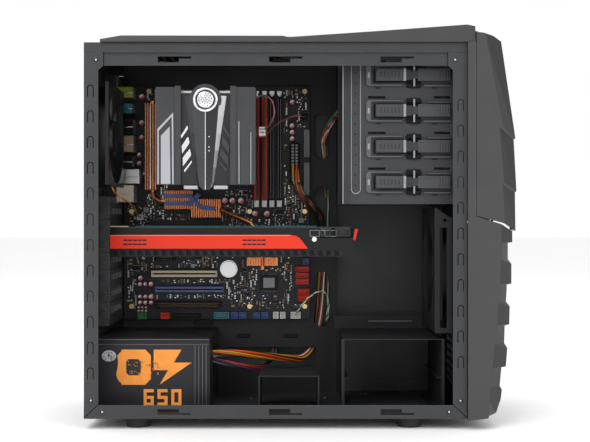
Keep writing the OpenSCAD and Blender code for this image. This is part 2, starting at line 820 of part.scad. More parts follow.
module bay_lock_lever_1() color([0.24, 0.24, 0.25]) lock_lever(0);
module bay_lock_lever_2() color([0.24, 0.24, 0.25]) lock_lever(1);
module bay_lock_lever_3() color([0.24, 0.24, 0.25]) lock_lever(2);
module bay_lock_lever_4() color([0.24, 0.24, 0.25]) lock_lever(3);

// Open sheet box with folded lips around its near mouth
module open_cage(x0, x1, y0, y1, z_top, lip) {
    difference() {
        box([x0, y0, floor_z], [x1, y1, z_top]);
        box([x0 + sheet, y0 - 1, floor_z - 1], [x1 - sheet, y1 + 1, z_top - sheet]);
        for (k = [0:2]) {
            rod_x(x0 - 1, x1 + 1, y0 + 20 + k * 25, floor_z + (z_top - floor_z) * 0.35, 1.6);
        }
    }
    for (x = [x0 - lip + sheet, x1 - sheet]) {
        box([x, y0, floor_z], [x + lip, y0 + sheet, z_top]);
    }
    for (x = [x0 + sheet, x1 - sheet - 10]) {
        box([x, y0 + 4, floor_z], [x + 10, y1 - 4, floor_z + sheet]);
    }
}

module drive_cages() color([0.15, 0.15, 0.16]) {
    low_top = floor_z + low_cage_h;
    open_cage(low_x0, low_x1, low_y0, low_y0 + low_cage_d, low_top, 3.5);
    for (x = [low_x0 + sheet, low_x1 - sheet - 5], z = [floor_z + 40]) {
        box([x, low_y0 + 6, z], [x + 5, low_y0 + low_cage_d - 6, z + sheet]);
    }
    box([low_x0 - 6, low_y0 + low_cage_d - sheet, low_top - sheet],
        [low_x1, low_y0 + low_cage_d, low_top + 16]);
    open_cage(ssd_x0, ssd_x0 + ssd_l, low_y0, low_y0 + ssd_d, floor_z + ssd_h, 2);
}

module fan_bracket() color([0.22, 0.22, 0.23]) {
    bx = front_fan_x - 7;
    z_low = floor_z + low_cage_h + 7;
    z_high = cage_z - 4;
    plate_yz(bx, sheet) difference() {
        rect([low_y0, z_low], [low_y0 + low_cage_d - 5, z_high]);
        translate([0, front_fan_z]) circle(r = fan_size / 2 - 3);
    }
    plate_xz(low_y0, sheet) difference() {
        polygon([[bx, z_low], [bx + 20, z_low], [bx + 20, z_high - 13], [bx, z_high]]);
        rect([bx + 6, z_low + 6], [bx + 14, z_high - 24]);
        translate([bx + 12, z_high - 15]) circle(r = 1.8);
    }
}

// ---------------------------------------------------------------- fans

module front_fan_place() {
    translate([fx - sheet, 0, front_fan_z]) rotate([0, -90, 0]) children();
}

module rear_fan_place() {
    translate([rear_fan_x, rear_fan_y, rear_fan_z]) rotate([0, 90, 0]) children();
}

module front_fan_frame() color([0.1, 0.1, 0.1]) front_fan_place() fan_frame(fan_size, fan_depth, 20);
module front_fan_rotor() color([0.12, 0.12, 0.12]) front_fan_place() fan_rotor(fan_size, fan_depth, 20, 7);
module rear_fan_frame() color([0.1, 0.1, 0.1]) rear_fan_place() fan_frame(fan_size, fan_depth, 20);
module rear_fan_rotor() color([0.12, 0.12, 0.12]) rear_fan_place() fan_rotor(fan_size, fan_depth, 20, 7);

// ---------------------------------------------------------------- slots and rear details

// Bracket plate over some slots, with its bent tab and the tab's screw
module slot_plate(z_low, z_high, screws) {
    box([wall_x, shelf_y - 1, z_low], [wall_x + 1, board_y - 1, z_high]);
    box([wall_x - 11.4, shelf_y - 1, z_low], [wall_x + 1, shelf_y, z_high]);
    for (z = screws) {
        difference() {
            rod_y(wall_x - 6, shelf_y - 3.4, shelf_y - 1, z, 3.4);
            box([wall_x - 9, shelf_y - 4, z - 0.5], [wall_x - 3, shelf_y - 2.4, z + 0.5]);
        }
    }
}

module slot_covers() color([0.2, 0.2, 0.2]) {
    half = slot_pitch / 2 - 0.8;
    for (i = [0, 1, 2, 3, 6]) {
        difference() {
            slot_plate(slot_z(i) - half, slot_z(i) + half, [slot_z(i)]);
            for (k = [0:6]) {
                box([wall_x - 1, shelf_y + 14 + k * 12, slot_z(i) - 3.5],
                    [wall_x + 2, shelf_y + 20 + k * 12, slot_z(i) + 3.5]);
            }
        }
    }
}

module padlock_loop() color([0.35, 0.35, 0.36]) {
    loop_y = shelf_y - 12;
    loop_z = board_z + 118;
    difference() {
        box([rx - loop_out, loop_y - 1, loop_z - 9], [rx, loop_y + 1, loop_z + 9]);
        box([rx - loop_out + 1.8, loop_y - 2, loop_z - 6], [rx - 1.2, loop_y + 2, loop_z + 6]);
    }
    box([rx - 0.8, loop_y - 7, loop_z - 9], [rx, loop_y + 7, loop_z + 9]);
}

// ---------------------------------------------------------------- board

board_holes = [[10.2, 16.5], [165.1, 16.5], [237.5, 16.5], [10.2, 141], [165.1, 141],
    [237.5, 141], [33, 298.5], [165.1, 298.5], [237.5, 298.5]];

module motherboard() color([0.07, 0.07, 0.08]) {
    plate_xz(board_y, pcb) difference() {
        rect([board_x, board_z], [board_x + board_w, board_z + board_l]);
        for (p = board_holes) {
            translate([board_x + p[0], board_z + p[1]]) circle(r = 2);
        }
    }
}

module board_standoffs() color([0.7, 0.6, 0.35]) {
    for (p = board_holes) {
        x = board_x + p[0];
        z = board_z + p[1];
        translate([x, tray_y, z]) rotate([90, 30, 0]) cylinder(h = standoff_h, r = 3.4, $fn = 6);
        rod_y(x, board_y - 0.1, board_y + pcb, z, 1.6);
        rod_y(x, board_y - 2.2, board_y, z, 3.2);
    }
}

// Finned block standing on the board, its low corner at [x, z]
module finned_block(x, z, w, h, tall, pitch) {
    box([x, board_y - 4, z], [x + w, board_y, z + h]);
    for (k = [0:floor((w - 1) / pitch)]) {
        box([x + k * pitch, board_y - tall, z], [x + k * pitch + 1.2, board_y - 3.9, z + h]);
    }
}

module board_heatsinks() color([0.75, 0.42, 0.22]) {
    vrm_x = board_x + 31;
    north_x = board_x + 56;
    finned_block(vrm_x, board_z + 169, 14, 112, 26, 3.2);
    finned_block(north_x, board_z + 144, 35, 24, 22, 2.9);
    finned_block(north_x + 34.5, board_z + 133, 37, 24, 22, 2.9);
    finned_block(board_x + 162, board_z + 70, 40, 11, 14, 3.3);
    pipe_y = board_y - 8;
    tube([[vrm_x + 7, pipe_y, board_z + 285], [vrm_x + 7, pipe_y, board_z + 166],
        [vrm_x + 10, pipe_y, board_z + 158], [vrm_x + 17, pipe_y, board_z + 154],
        [north_x + 20, pipe_y, board_z + 153], [north_x + 52, pipe_y, board_z + 148],
        [north_x + 74, pipe_y, board_z + 142], [board_x + 166, pipe_y, board_z + 126],
        [board_x + 176, pipe_y, board_z + 114], [board_x + 181, pipe_y, board_z + 98],
        [board_x + 182, pipe_y, board_z + 65]], 6, 8);
}

// One can capacitor
module can(x, z, d, h) {
    rod_y(board_x + x, board_y - h, board_y, board_z + z, d / 2);
}

module capacitors() color([0.85, 0.82, 0.83]) {
    for (z = [21.8, 29.5, 46]) {
        can(22.3, z, 5.8, 8);
        can(29, z, 5.8, 8);
        can(36.6, z, z < 25 ? 5.8 : 7, 8);
    }
    can(22.5, 54, 6.5, 8);
    for (k = [0:2]) {
        can(20 + 4.9 * k, 15.3, 3.6, 5.5);
        can(20 + 4.9 * k, 10.8, 3.6, 5.5);
        can(221, 236 + 8.4 * k, 7, 9);
    }
    for (p = [[221, 284], [24.5, 291], [24.5, 257], [24.5, 238]]) {
        can(p[0], p[1], 7, 9);
    }
    can(28, 190, 5.4, 9);
    for (z = [204, 215]) {
        can(21.4, z, 6.5, 9);
    }
    for (p = [[133, 155], [143, 155], [154, 155], [172.5, 138], [188, 138]]) {
        can(p[0], p[1], 8, 10);
    }
}

// Slot housing with its groove, centred on z
module card_socket(x, l, z, w, tall) {
    difference() {
        box([x, board_y - tall, z - w / 2], [x + l, board_y, z + w / 2]);
        box([x + 2, board_y - tall - 1, z - 1], [x + l - 2, board_y - 3, z + 1]);
    }
}

module expansion_slots() color([0.15, 0.25, 0.55]) {
    card_socket(board_x + 42, 90, slot_z(card_slot), 7.5, 11);
    card_socket(board_x + 42, 90, slot_z(1), 7.5, 11);
    card_socket(board_x + 37, 86, slot_z(2), 8.4, 11);
    card_socket(board_x + 42, 86, slot_z(0), 8.4, 11);
    card_socket(board_x + 42, 26, slot_z(3), 7.5, 11);
}

// Open header or plug housing on the board
module header(x, z, w, h, tall) {
    difference() {
        box([board_x + x, board_y - tall, board_z + z],
            [board_x + x + w, board_y, board_z + z + h]);
        box([board_x + x + 1, board_y - tall - 1, board_z + z + 1],
            [board_x + x + w - 1, board_y - 2, board_z + z + h - 1]);
    }
}

module board_sockets() color([0.75, 0.12, 0.12]) {
    for (k = [0:2]) {
        header(225.5, 46 + 8.2 * k, 17, 6.6, 9);
    }
    for (z = [24, 32.4]) {
        header(228.5, z, 15, 7.4, 10);
    }
    header(235, 72, 8, 8, 9);
    for (x = [118.5, 141, 151.5, 170, 180.5]) {
        header(x, 1, x < 120 ? 20 : 9, 8.5, 9);
    }
    for (x = [196, 205]) {
        header(x, 1, 7, 8.5, 8);
    }
    header(219, 1, 13, 8.5, 8);
    for (x = [19, 49]) {
        header(x, 0.5, 11.5, 8, 8);
    }
    header(65, 2, 36, 5.5, 7);
    header(236.5, 212.5, 6.8, 35, 9);
    header(236.5, 163.5, 6.8, 41, 9);
    header(233, 261, 8, 8, 8);
    header(18.5, 130, 7.4, 7, 8);
    box([board_x + 218, board_y - 13, board_z + 178], [board_x + 231, board_y, board_z + 230]);
    header(149.5, 278, 9, 8, 8);
}

// Rear sockets: [height above the board's foot, height, depth, how far it stands off the board]
io_ports = [[288, 14, 15, 24], [267, 13, 15, 30], [239.5, 21, 17, 40], [217.5, 21, 17, 33],
    [197, 17, 15, 30], [176.5, 18.5, 25, 36], [153, 21.5, 17.5, 36]];

// Metal and plastic sockets behind the rear wall's opening
module rear_ports() color([0.7, 0.7, 0.7]) {
    wall = 3;
    for (p = io_ports) {
        difference() {
            box([board_x - 1, board_y - p[3], board_z + p[0]],
                [board_x + p[2], board_y, board_z + p[0] + p[1]]);
            box([board_x - 2, board_y - p[3] + wall, board_z + p[0] + wall],
                [board_x + p[2] - 5, board_y - wall - 1, board_z + p[0] + p[1] - wall]);
        }
    }
}

module io_shield() color([0.6, 0.6, 0.62]) {
    plate_yz(wall_x, 0.6) difference() {
        rect([io_y0 - 1.5, io_z0 - 0.4], [io_y1 + 1.2, io_z0 + io_h + 1.5]);
        for (p = io_ports) {
            rect([board_y - p[3] + 1, board_z + p[0] + 1],
                [board_y - 4, board_z + p[0] + p[1] - 1]);
        }
    }
}

module coin_cell() color([0.75, 0.75, 0.76]) {
    rod_y(board_x + 137.7, board_y - 4.6, board_y - 1.4, board_z + 65.7, 10);
    rod_y(board_x + 137.7, board_y - 1.4, board_y, board_z + 65.7, 11.5);
}

memory_x = [174.5, 184.8, 194.6, 204.3];

module memory_slots() color([0.75, 0.25, 0.1]) {
    for (x = memory_x) {
        difference() {
            box([board_x + x - 3.2, board_y - 7.5, board_z + 154],
                [board_x + x + 3.2, board_y, board_z + 291]);
            box([board_x + x - 0.9, board_y - 8, board_z + 155.5],
                [board_x + x + 0.9, board_y - 2, board_z + 289.5]);
        }
        for (z = [148, 291]) {
            box([board_x + x - 3, board_y - 16, board_z + z], [board_x + x + 3, board_y, board_z + z + 6]);
        }
    }
}

module memory_modules() color([0.25, 0.12, 0.08]) {
    for (x = [memory_x[0], memory_x[1]]) {
        box([board_x + x - 0.65, board_y - 32, board_z + 155.9],
            [board_x + x + 0.65, board_y - 2, board_z + 289.1]);
    }
}

// ---------------------------------------------------------------- processor and cooler

module processor() color([0.8, 0.78, 0.7]) {
    box([cooler_x - 26, board_y - socket_h, cooler_z - 27], [cooler_x + 26, board_y, cooler_z + 27]);
    box([cooler_x - 20, board_y - socket_h - chip_h, cooler_z - 20],
        [cooler_x + 20, board_y - socket_h, cooler_z + 20]);
}

// Places of one quarter of the heat pipes, from the cooler's middle
pipe_spots = [[22, 34], [42, 12]];
stack_low = board_y - 36;
stack_gap = 4.4;

// Cold plate with eight pipes that rise through the two fin stacks
module cooler_base() color([0.72, 0.45, 0.3]) {
    box([cooler_x - 25, base_y, cooler_z - 25], [cooler_x + 25, base_y + cooler_base_t, cooler_z + 25]);
    for (p = pipe_spots, sx = [-1, 1], sz = [-1, 1]) {
        px = cooler_x + sx * p[0];
        pz = cooler_z + sz * p[1];
        py = base_y + 6;
        inner_x = p[0] > p[1] ? cooler_x : px;
        inner_z = p[0] > p[1] ? pz : cooler_z;
        rod_y(px, cooler_top + 12, py, pz, 3);
        box([px - 4, py - 4, pz - 4], [px + 4, py + 4, pz + 4]);
        box([min(px, inner_x) - 2.5, py - 2.5, min(pz, inner_z) - 2.5],
            [max(px, inner_x) + 2.5, py + 2.5, max(pz, inner_z) + 2.5]);
    }
}

module cooler_fins() color([0.7, 0.7, 0.72]) {
    count = floor((stack_low - cooler_top - 14) / stack_gap);
    for (side = [-1, 1], i = [0:count - 1]) {
        y = stack_low - i * stack_gap;
        plate_xz(y, 0.6) difference() {
            translate([cooler_x + side * 34, cooler_z]) square([38, cooler_h - 8], center = true);
            for (p = pipe_spots, sz = [-1, 1]) {
                translate([cooler_x + side * p[0], cooler_z + sz * p[1]]) circle(r = 3.05);
            }
        }
    }
}

module cooler_fan_place() {
    translate([cooler_x - 12, cooler_top + 10 + cooler_fan / 2, cooler_z]) rotate([0, 90, 0]) children();
}

module cooler_fan_frame() color([0.12, 0.12, 0.12]) cooler_fan_place() fan_frame(cooler_fan, 24, 18);
module cooler_fan_rotor() color([0.5, 0.1, 0.1]) cooler_fan_place() fan_rotor(cooler_fan, 24, 18, 9);

// Shroud over the fin stacks: raised middle with a tapering ridge, and two lower wings
module cooler_shroud() color([0.33, 0.34, 0.35]) {
    x0 = cooler_x - cooler_w / 2;
    x1 = cooler_x + cooler_w / 2;
    za = cooler_z - cooler_h / 2;
    zb = cooler_z + cooler_h / 2;
    skirt_y = cooler_top + 34;
    wing = 29.5;
    difference() {
        union() {
            box([x0, cooler_top + 3, za], [x0 + wing, skirt_y, zb]);
            box([x1 - wing, cooler_top + 3, za], [x1, skirt_y, zb]);
            box([x0 + wing - 0.5, cooler_top + 5, za], [x1 - wing + 0.5, cooler_top + 10, zb]);
        }
        box([x0 + 2, cooler_top + 6, za - 1], [x0 + wing + 10, skirt_y + 1, zb + 1]);
        box([x1 - wing - 10, cooler_top + 6, za - 1], [x1 - 2, skirt_y + 1, zb + 1]);
        box([x0 + 5, cooler_top + 2, za + 3], [x0 + 17, cooler_top + 4, zb - 50]);
        box([x1 - 17, cooler_top + 2, za + 3], [x1 - 5, cooler_top + 4, zb - 50]);
    }
    plate_xz(cooler_top, 6) polygon([[cooler_x - 5, za - 5], [cooler_x + 5, za - 5],
        [cooler_x + 17, zb - 22], [cooler_x + 17, zb - 4], [cooler_x - 17, zb - 4],
        [cooler_x - 17, zb - 22]]);
    difference() {
        rod_y(cooler_x, cooler_top - 2, cooler_top + 1, zb - 16.3, 14.7);
        rod_y(cooler_x, cooler_top - 3, cooler_top - 1, zb - 16.3, 11.5);
    }
}

// ---------------------------------------------------------------- graphics card

module card_bracket() color([0.2, 0.2, 0.2]) {
    z_low = slot_z(card_slot - 1) - 9.4;
    z_high = slot_z(card_slot) + 9.4;
    difference() {
        slot_plate(z_low, z_high, [slot_z(card_slot - 1), slot_z(card_slot)]);
        for (k = [0:7]) {
            box([wall_x - 1, shelf_y + 10 + k * 11, z_low + 4],
                [wall_x + 2, shelf_y + 18 + k * 11, z_low + 16]);
        }
        box([wall_x - 1, shelf_y + 20, slot_z(card_slot) - 12],
            [wall_x + 2, shelf_y + 60, slot_z(card_slot) - 3]);
    }
}

module card_board() color([0.08, 0.08, 0.08]) {
    x0 = wall_x + 1 + gap;
    box([x0, card_y0 + 0.5, card_under], [card_x1 - 14, board_y - 12, card_under + pcb]);
    box([board_x + 45, board_y - 13, card_under], [board_x + 129, board_y - 4, card_under + pcb]);
    for (k = [0, 1]) {
        px = card_x1 - 51.5 + k * 18.5;
        difference() {
            box([px, card_y0 - 1, card_under - 10], [px + 13 + k * 5, card_y0 + 12, card_under]);
            box([px + 1.4, card_y0 - 2, card_under - 8.6],
                [px + 11.6 + k * 5, card_y0 + 8, card_under - 1.4]);
        }
    }
}

// Cooler housing of the card, hollow for the blower and its air duct
module card_shroud() color([0.1, 0.1, 0.11]) {
    x0 = wall_x + 1 + gap;
    y0 = card_y0 + 1;
    y1 = board_y - 14;
    z_low = card_under - card_t;
    difference() {
        plate_xz(y0, y1 - y0) polygon([[x0, z_low], [card_x1 - 12, z_low], [card_x1 - 5, card_under],
            [x0, card_under]]);
        translate([blower_x, blower_y, z_low - 1]) cylinder(h = card_t - 2, r = blower_r + 4);
        box([x0 - 1, y0 + 8, z_low + 3], [blower_x, y1 - 8, card_under - 3]);
        box([card_x1 - 53, y0 - 1, card_under - 12], [card_x1 - 12, y0 + 12, card_under + 1]);
        for (k = [0:27]) {
            box([x0 + 4 + k * 10, y0 - 1, z_low + 2], [x0 + 9 + k * 10, y0 + 5, z_low + 8]);
        }
        translate([blower_x, blower_y, card_under - 3.5]) cylinder(h = 2.5, r = 1.5 + run_fit);
    }
}

module card_side_panel() color([0.85, 0.12, 0.08]) {
    x0 = wall_x + 4;
    z_low = card_under - 24;
    z_high = card_under - 7;
    plate_xz(card_y0 - 1.4, 2.2) difference() {
        polygon([[x0, z_low], [x0 + 240, z_low], [x0 + 228, z_high], [x0, z_high]]);
        for (x = [x0 + 15, x0 + 159], k = [0, 1]) {
            translate([x + k * 2, z_low + 4.6 + k * 5]) square([30, 2.6]);
        }
    }
}

module card_blower() color([0.15, 0.15, 0.15]) {
    z_low = card_under - card_t + 2.5;
    translate([blower_x, blower_y, z_low]) {
        translate([0, 0, 4]) cylinder(h = card_t - 10, r = 16);
        cylinder(h = card_t - 3.5, r = 1.5);
        translate([0, 0, card_t - 8]) cylinder(h = 1.6, r = blower_r);
        for (i = [0:23]) {
            rotate(i * 15) translate([blower_r - 8, 0, 2]) rotate(-25) cube([9, 1, card_t - 9]);
        }
    }
}

// ---------------------------------------------------------------- power supply

inlet_y = psu_y0 + 34;
inlet_z = psu_z0 + 42;
switch_y = inlet_y + 30;

module psu_case() color([0.13, 0.13, 0.14]) {
    x1 = psu_x0 + psu_l;
    difference() {
        box([psu_x0, psu_y0, psu_z0], [x1, psu_y1, psu_z0 + psu_h]);
        box([psu_x0 + 1, psu_y0 + 1, psu_z0 + 1], [x1 - 1, psu_y1 - 1, psu_z0 + psu_h - 1]);
        rod_z(psu_fan_x, psu_fan_y, psu_z0 - 1, psu_z0 + 2, 57);
        box([psu_x0 - 1, inlet_y - 14, inlet_z - 10.5], [psu_x0 + 2, inlet_y + 14, inlet_z + 10.5]);
        box([psu_x0 - 1, switch_y - 7, inlet_z - 10.5], [psu_x0 + 2, switch_y + 7, inlet_z + 10.5]);
        for (i = [0:6], j = [0:7]) {
            box([psu_x0 - 1, psu_y1 - 18 - i * 9, psu_z0 + 12 + j * 8],
                [psu_x0 + 2, psu_y1 - 12 - i * 9, psu_z0 + 17 + j * 8]);
        }
        rod_x(x1 - 2, x1 + 1, cable_exit[1], cable_exit[2], 17);
        for (y = [psu_y0 + 6, psu_y1 - 6], z = [psu_z0 + 6, psu_z0 + psu_h - 6]) {
            rod_x(psu_x0 - 1, psu_x0 + 2, y, z, 1.75);
        }
    }
}

module psu_fan_place() {
    translate([psu_fan_x, psu_fan_y, psu_z0 + 1]) children();
}

module psu_fan_frame() color([0.1, 0.1, 0.1]) psu_fan_place() fan_frame(118, 25, 20);
module psu_fan_rotor() color([0.12, 0.12, 0.12]) psu_fan_place() fan_rotor(118, 25, 20, 7);

// Mains inlet with its three blades
module psu_inlet() color([0.08, 0.08, 0.08]) {
    difference() {
        box([psu_x0, inlet_y - 13.8, inlet_z - 10.3],
            [psu_x0 + 20, inlet_y + 13.8, inlet_z + 10.3]);
        box([psu_x0 - 1, inlet_y - 11.8, inlet_z - 8.2], [psu_x0 + 17, inlet_y + 11.8, inlet_z + 8.2]);
    }
    for (p = [[-7, -2], [0, 2], [7, -2]]) {
        box([psu_x0 + 4, inlet_y + p[0] - 1, inlet_z + p[1] - 2],
            [psu_x0 + 18, inlet_y + p[0] + 1, inlet_z + p[1] + 2]);
    }
    for (side = [-1, 1]) {
        difference() {
            box([psu_x0 + 1.2, switch_y + side * 7.2 - 0.8, inlet_z - 6],
                [psu_x0 + 12, switch_y + side * 7.2 + 0.8, inlet_z + 6]);
            rod_y(psu_x0 + 5, switch_y - 9, switch_y + 9, inlet_z, 1 + run_fit);
        }
    }
}

switch_tip = 9;

// Rocker of the mains switch, resting in its on position
module psu_switch() color([0.1, 0.1, 0.1]) {
    translate([psu_x0 + 5, switch_y, inlet_z]) rotate([0, -switch_tip, 0]) difference() {
        union() {
            translate([-4.2, -5.6, -8]) cube([5, 11.2, 16]);
            rotate([90, 0, 0]) cylinder(h = 11.2, r = 3, center = true);
            rotate([90, 0, 0]) cylinder(h = 15, r = 1, center = true);
        }
        translate([-5.2, -7, 0]) rotate([0, 14, 0]) translate([-2, 0, 0]) cube([2, 14, 12]);
        translate([-5.2, -7, 0]) rotate([0, -14, 0]) translate([-2, 0, -12]) cube([2, 14, 12]);
    }
}

// ---------------------------------------------------------------- cables

// Frame across a route at point i, for sweeping a ring along it
function tangent(p, i) = let (a = p[max(i - 1, 0)], b = p[min(i + 1, len(p) - 1)]) (b - a) / norm(b - a);
function across(t) = let (u = abs(t[2]) < 0.8 ? cross(t, [0, 0, 1]) : cross(t, [1, 0, 0])) u / norm(u);

function carry(p, i) = i == 0 ? across(tangent(p, 0)) :
    let (last = carry(p, i - 1), t = tangent(p, i), u = last - t * (last * t)) u / norm(u);

module tube(p, d, sides) {
    n = len(p);
    rings = [for (i = [0:n - 1]) let (t = tangent(p, i), u = carry(p, i), v = cross(t, u))
        for (k = [0:sides - 1]) p[i] + (cos(k * 360 / sides) * u + sin(k * 360 / sides) * v) * d / 2];
    walls = [for (i = [0:n - 2]) for (k = [0:sides - 1])
        let (a = i * sides + k, b = i * sides + (k + 1) % sides)
        each [[a, b + sides, b], [a, a + sides, b + sides]]];
    ends = [[for (k = [0:sides - 1]) k], [for (k = [sides - 1:-1:0]) (n - 1) * sides + k]];
    polyhedron(rings, concat(walls, ends), convexity = 6);
}

cable_exit = [psu_x0 + psu_l, 6, floor_z + 56];
// Main power cable: supply, lower tray hole, up behind the tray, out to the board's socket
main_route = [[-112, 11, 72], [-103, 14, 73], [-92, 17, 73], [-76, 23, 72], [-58, 36, 69],
    [-38, 54, 65], [-20, 70, 61], [-6, 82, 59], [6, 92, 58], [16, 98, 66], [24, 99, 84],
    [30, 99, 116], [33, 99, 170], [33, 98, 224], [32, 91, 243], [26, 78, 253], [16, 64, 262],
    [6, 55, 274], [0, 54, 288], [-2, 58, 302], [-2.7, 63, 310]];
// Drive power cable: supply, along the floor, through the lower tray hole
drive_route = [[-112, 1, 67], [-103, -2, 66], [-88, -1, 63], [-74, 4, 59], [-61, 15, 56],
    [-50, 33, 54], [-42, 55, 54], [-36, 76, 56], [-31, 92, 62], [-30, 98, 74], [-30, 99, 100]];
// Lead of the rear fan to its header on the board
fan_lead_route = [[-221, -58, 279.5], [-220, -51, 276], [-217, -36, 270], [-212, -20, 265],
    [-208, 0, 262], [-206, 20, 256], [-205, 42, 250], [-205, 60, 246], [-205, 74, 244]];
// Lead of the cooler's fan: a loop over the memory, an inline plug, then on to its header
cooler_lead_route = [[-50, -40, 388], [-42, -38, 391], [-34, -36, 388], [-29, -33, 380],
    [-28, -28, 368], [-34, -18, 356], [-43, -9, 350], [-47, 4, 345], [-42, 20, 346],
    [-32, 36, 356], [-18, 52, 368], [-4, 62, 375], [6, 68, 376], [9.8, 74, 375.5]];
// Front-panel lead: board, lower tray hole, up behind the tray, out of its upper hole,
// past the bay cage and through the front plate to the sockets
panel_lead_route = [[-1, 74, 116], [-1, 62, 119], [4, 50, 128], [14, 45, 140], [26, 46, 148],
    [36, 54, 147], [41, 66, 134], [41, 78, 116], [39, 90, 107], [40, 98, 115], [41, 100, 136],
    [41, 99, 200], [41, 99, 270], [38, 98, 326], [35, 89, 346], [39, 83, 358], [47, 81, 372],
    [58, 82, 388], [72, 84, 402], [92, 85, 412], [140, 86, 419], [180, 87, 420], [197, 87, 420],
    [207, 83, 424], [214, 70, 432], [218, 50, 436], [221, 34, 439.5], [222, 22, 446.5]];

module power_cables() color([0.12, 0.12, 0.12]) {
    tube(main_route, 9, 8);
    tube(drive_route, 7, 8);
    // Plug on the board's main socket
    plug_x = board_x + 219;
    box([plug_x, board_y - 20, board_z + 179], [plug_x + 11, board_y - 13, board_z + 229]);
    // Drive plug parked behind the tray
    box([-40.5, 95, 99], [-19.5, 103, 118]);
}

module signal_leads() color([0.75, 0.35, 0.1]) {
    tube(fan_lead_route, 2.6, 8);
    tube(cooler_lead_route, 2.4, 8);
    tube(panel_lead_route, 2.6, 8);
    box([-47, -13, 344], [-39, -5, 355]);
}

base_pan();
rear_panel();
roof_panel();
front_plate();
board_tray();
chassis_rivets();
feet();
side_panel();
thumbscrews();
top_cover();
mesh_panels();
front_bezel();
front_armour();
bay_covers();
power_button();
reset_button();
port_panel();
bay_cage();
bay_lock_bases();
bay_lock_lever_1();
bay_lock_lever_2();
bay_lock_lever_3();
bay_lock_lever_4();
drive_cages();
fan_bracket();
front_fan_frame();
front_fan_rotor();
rear_fan_frame();
rear_fan_rotor();
slot_covers();
padlock_loop();
motherboard();
board_heatsinks();
capacitors();
expansion_slots();
board_sockets();
rear_ports();
io_shield();
coin_cell();
memory_slots();
memory_modules();
board_standoffs();
processor();
cooler_base();
cooler_fins();
cooler_fan_frame();
cooler_fan_rotor();
cooler_shroud();
card_bracket();
card_board();
card_shroud();
card_side_panel();
card_blower();
psu_case();
psu_fan_frame();
psu_fan_rotor();
psu_inlet();
psu_switch();
power_cables();
signal_leads();
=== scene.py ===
"""Looks of the desktop computer tower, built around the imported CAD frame.

Places are in millimetres in the CAD's frame (+X front, -Y open side, +Z up) and are
turned into metres when a shape becomes a piece.
"""

import math
import random

import bmesh
import bpy
from mathutils import Matrix, Vector


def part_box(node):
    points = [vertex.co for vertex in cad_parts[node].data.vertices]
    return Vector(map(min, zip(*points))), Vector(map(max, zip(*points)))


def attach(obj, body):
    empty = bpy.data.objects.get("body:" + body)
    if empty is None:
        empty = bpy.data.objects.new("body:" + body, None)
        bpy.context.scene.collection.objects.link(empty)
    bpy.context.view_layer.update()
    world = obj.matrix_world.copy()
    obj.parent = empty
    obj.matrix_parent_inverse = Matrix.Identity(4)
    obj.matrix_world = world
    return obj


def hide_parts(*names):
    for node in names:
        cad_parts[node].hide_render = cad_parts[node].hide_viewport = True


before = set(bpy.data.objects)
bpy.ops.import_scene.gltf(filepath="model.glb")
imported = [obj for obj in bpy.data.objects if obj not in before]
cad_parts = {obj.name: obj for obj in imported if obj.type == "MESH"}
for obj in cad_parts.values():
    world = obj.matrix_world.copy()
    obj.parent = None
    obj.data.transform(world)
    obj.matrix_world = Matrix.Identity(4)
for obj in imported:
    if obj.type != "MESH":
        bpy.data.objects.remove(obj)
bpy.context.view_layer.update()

MM = 0.001
FLOOR_SIZE = 30.0
CAMERA_PLACE = (-0.0025, -1.424, 0.239)
CAMERA_LENS = 69.96


def span(node):
    """Lowest and highest corner of a CAD node, in millimetres."""
    low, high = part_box(node)
    return low / MM, high / MM


# Planes and places that the pieces below are measured from
BASE_LOW, BASE_HIGH = span("base_pan")
BOARD_LOW = span("motherboard")[0]
CARD_LOW, CARD_HIGH = span("card_shroud")
PSU_LOW, PSU_HIGH = span("psu_case")
SHROUD_LOW, SHROUD_HIGH = span("cooler_shroud")
CAGE_LOW, CAGE_HIGH = span("bay_cage")
BOARD_X = BOARD_LOW.x
BOARD_Z = BOARD_LOW.z
BOARD_Y = BOARD_LOW.y
REAR_X = BASE_LOW.x
FRONT_X = BASE_HIGH.x
NEAR_Y = BASE_LOW.y
FAR_Y = BASE_HIGH.y
FOOT_Z = BASE_LOW.z
ROOF_Z = span("roof_panel")[1].z


# ---------------- shapes

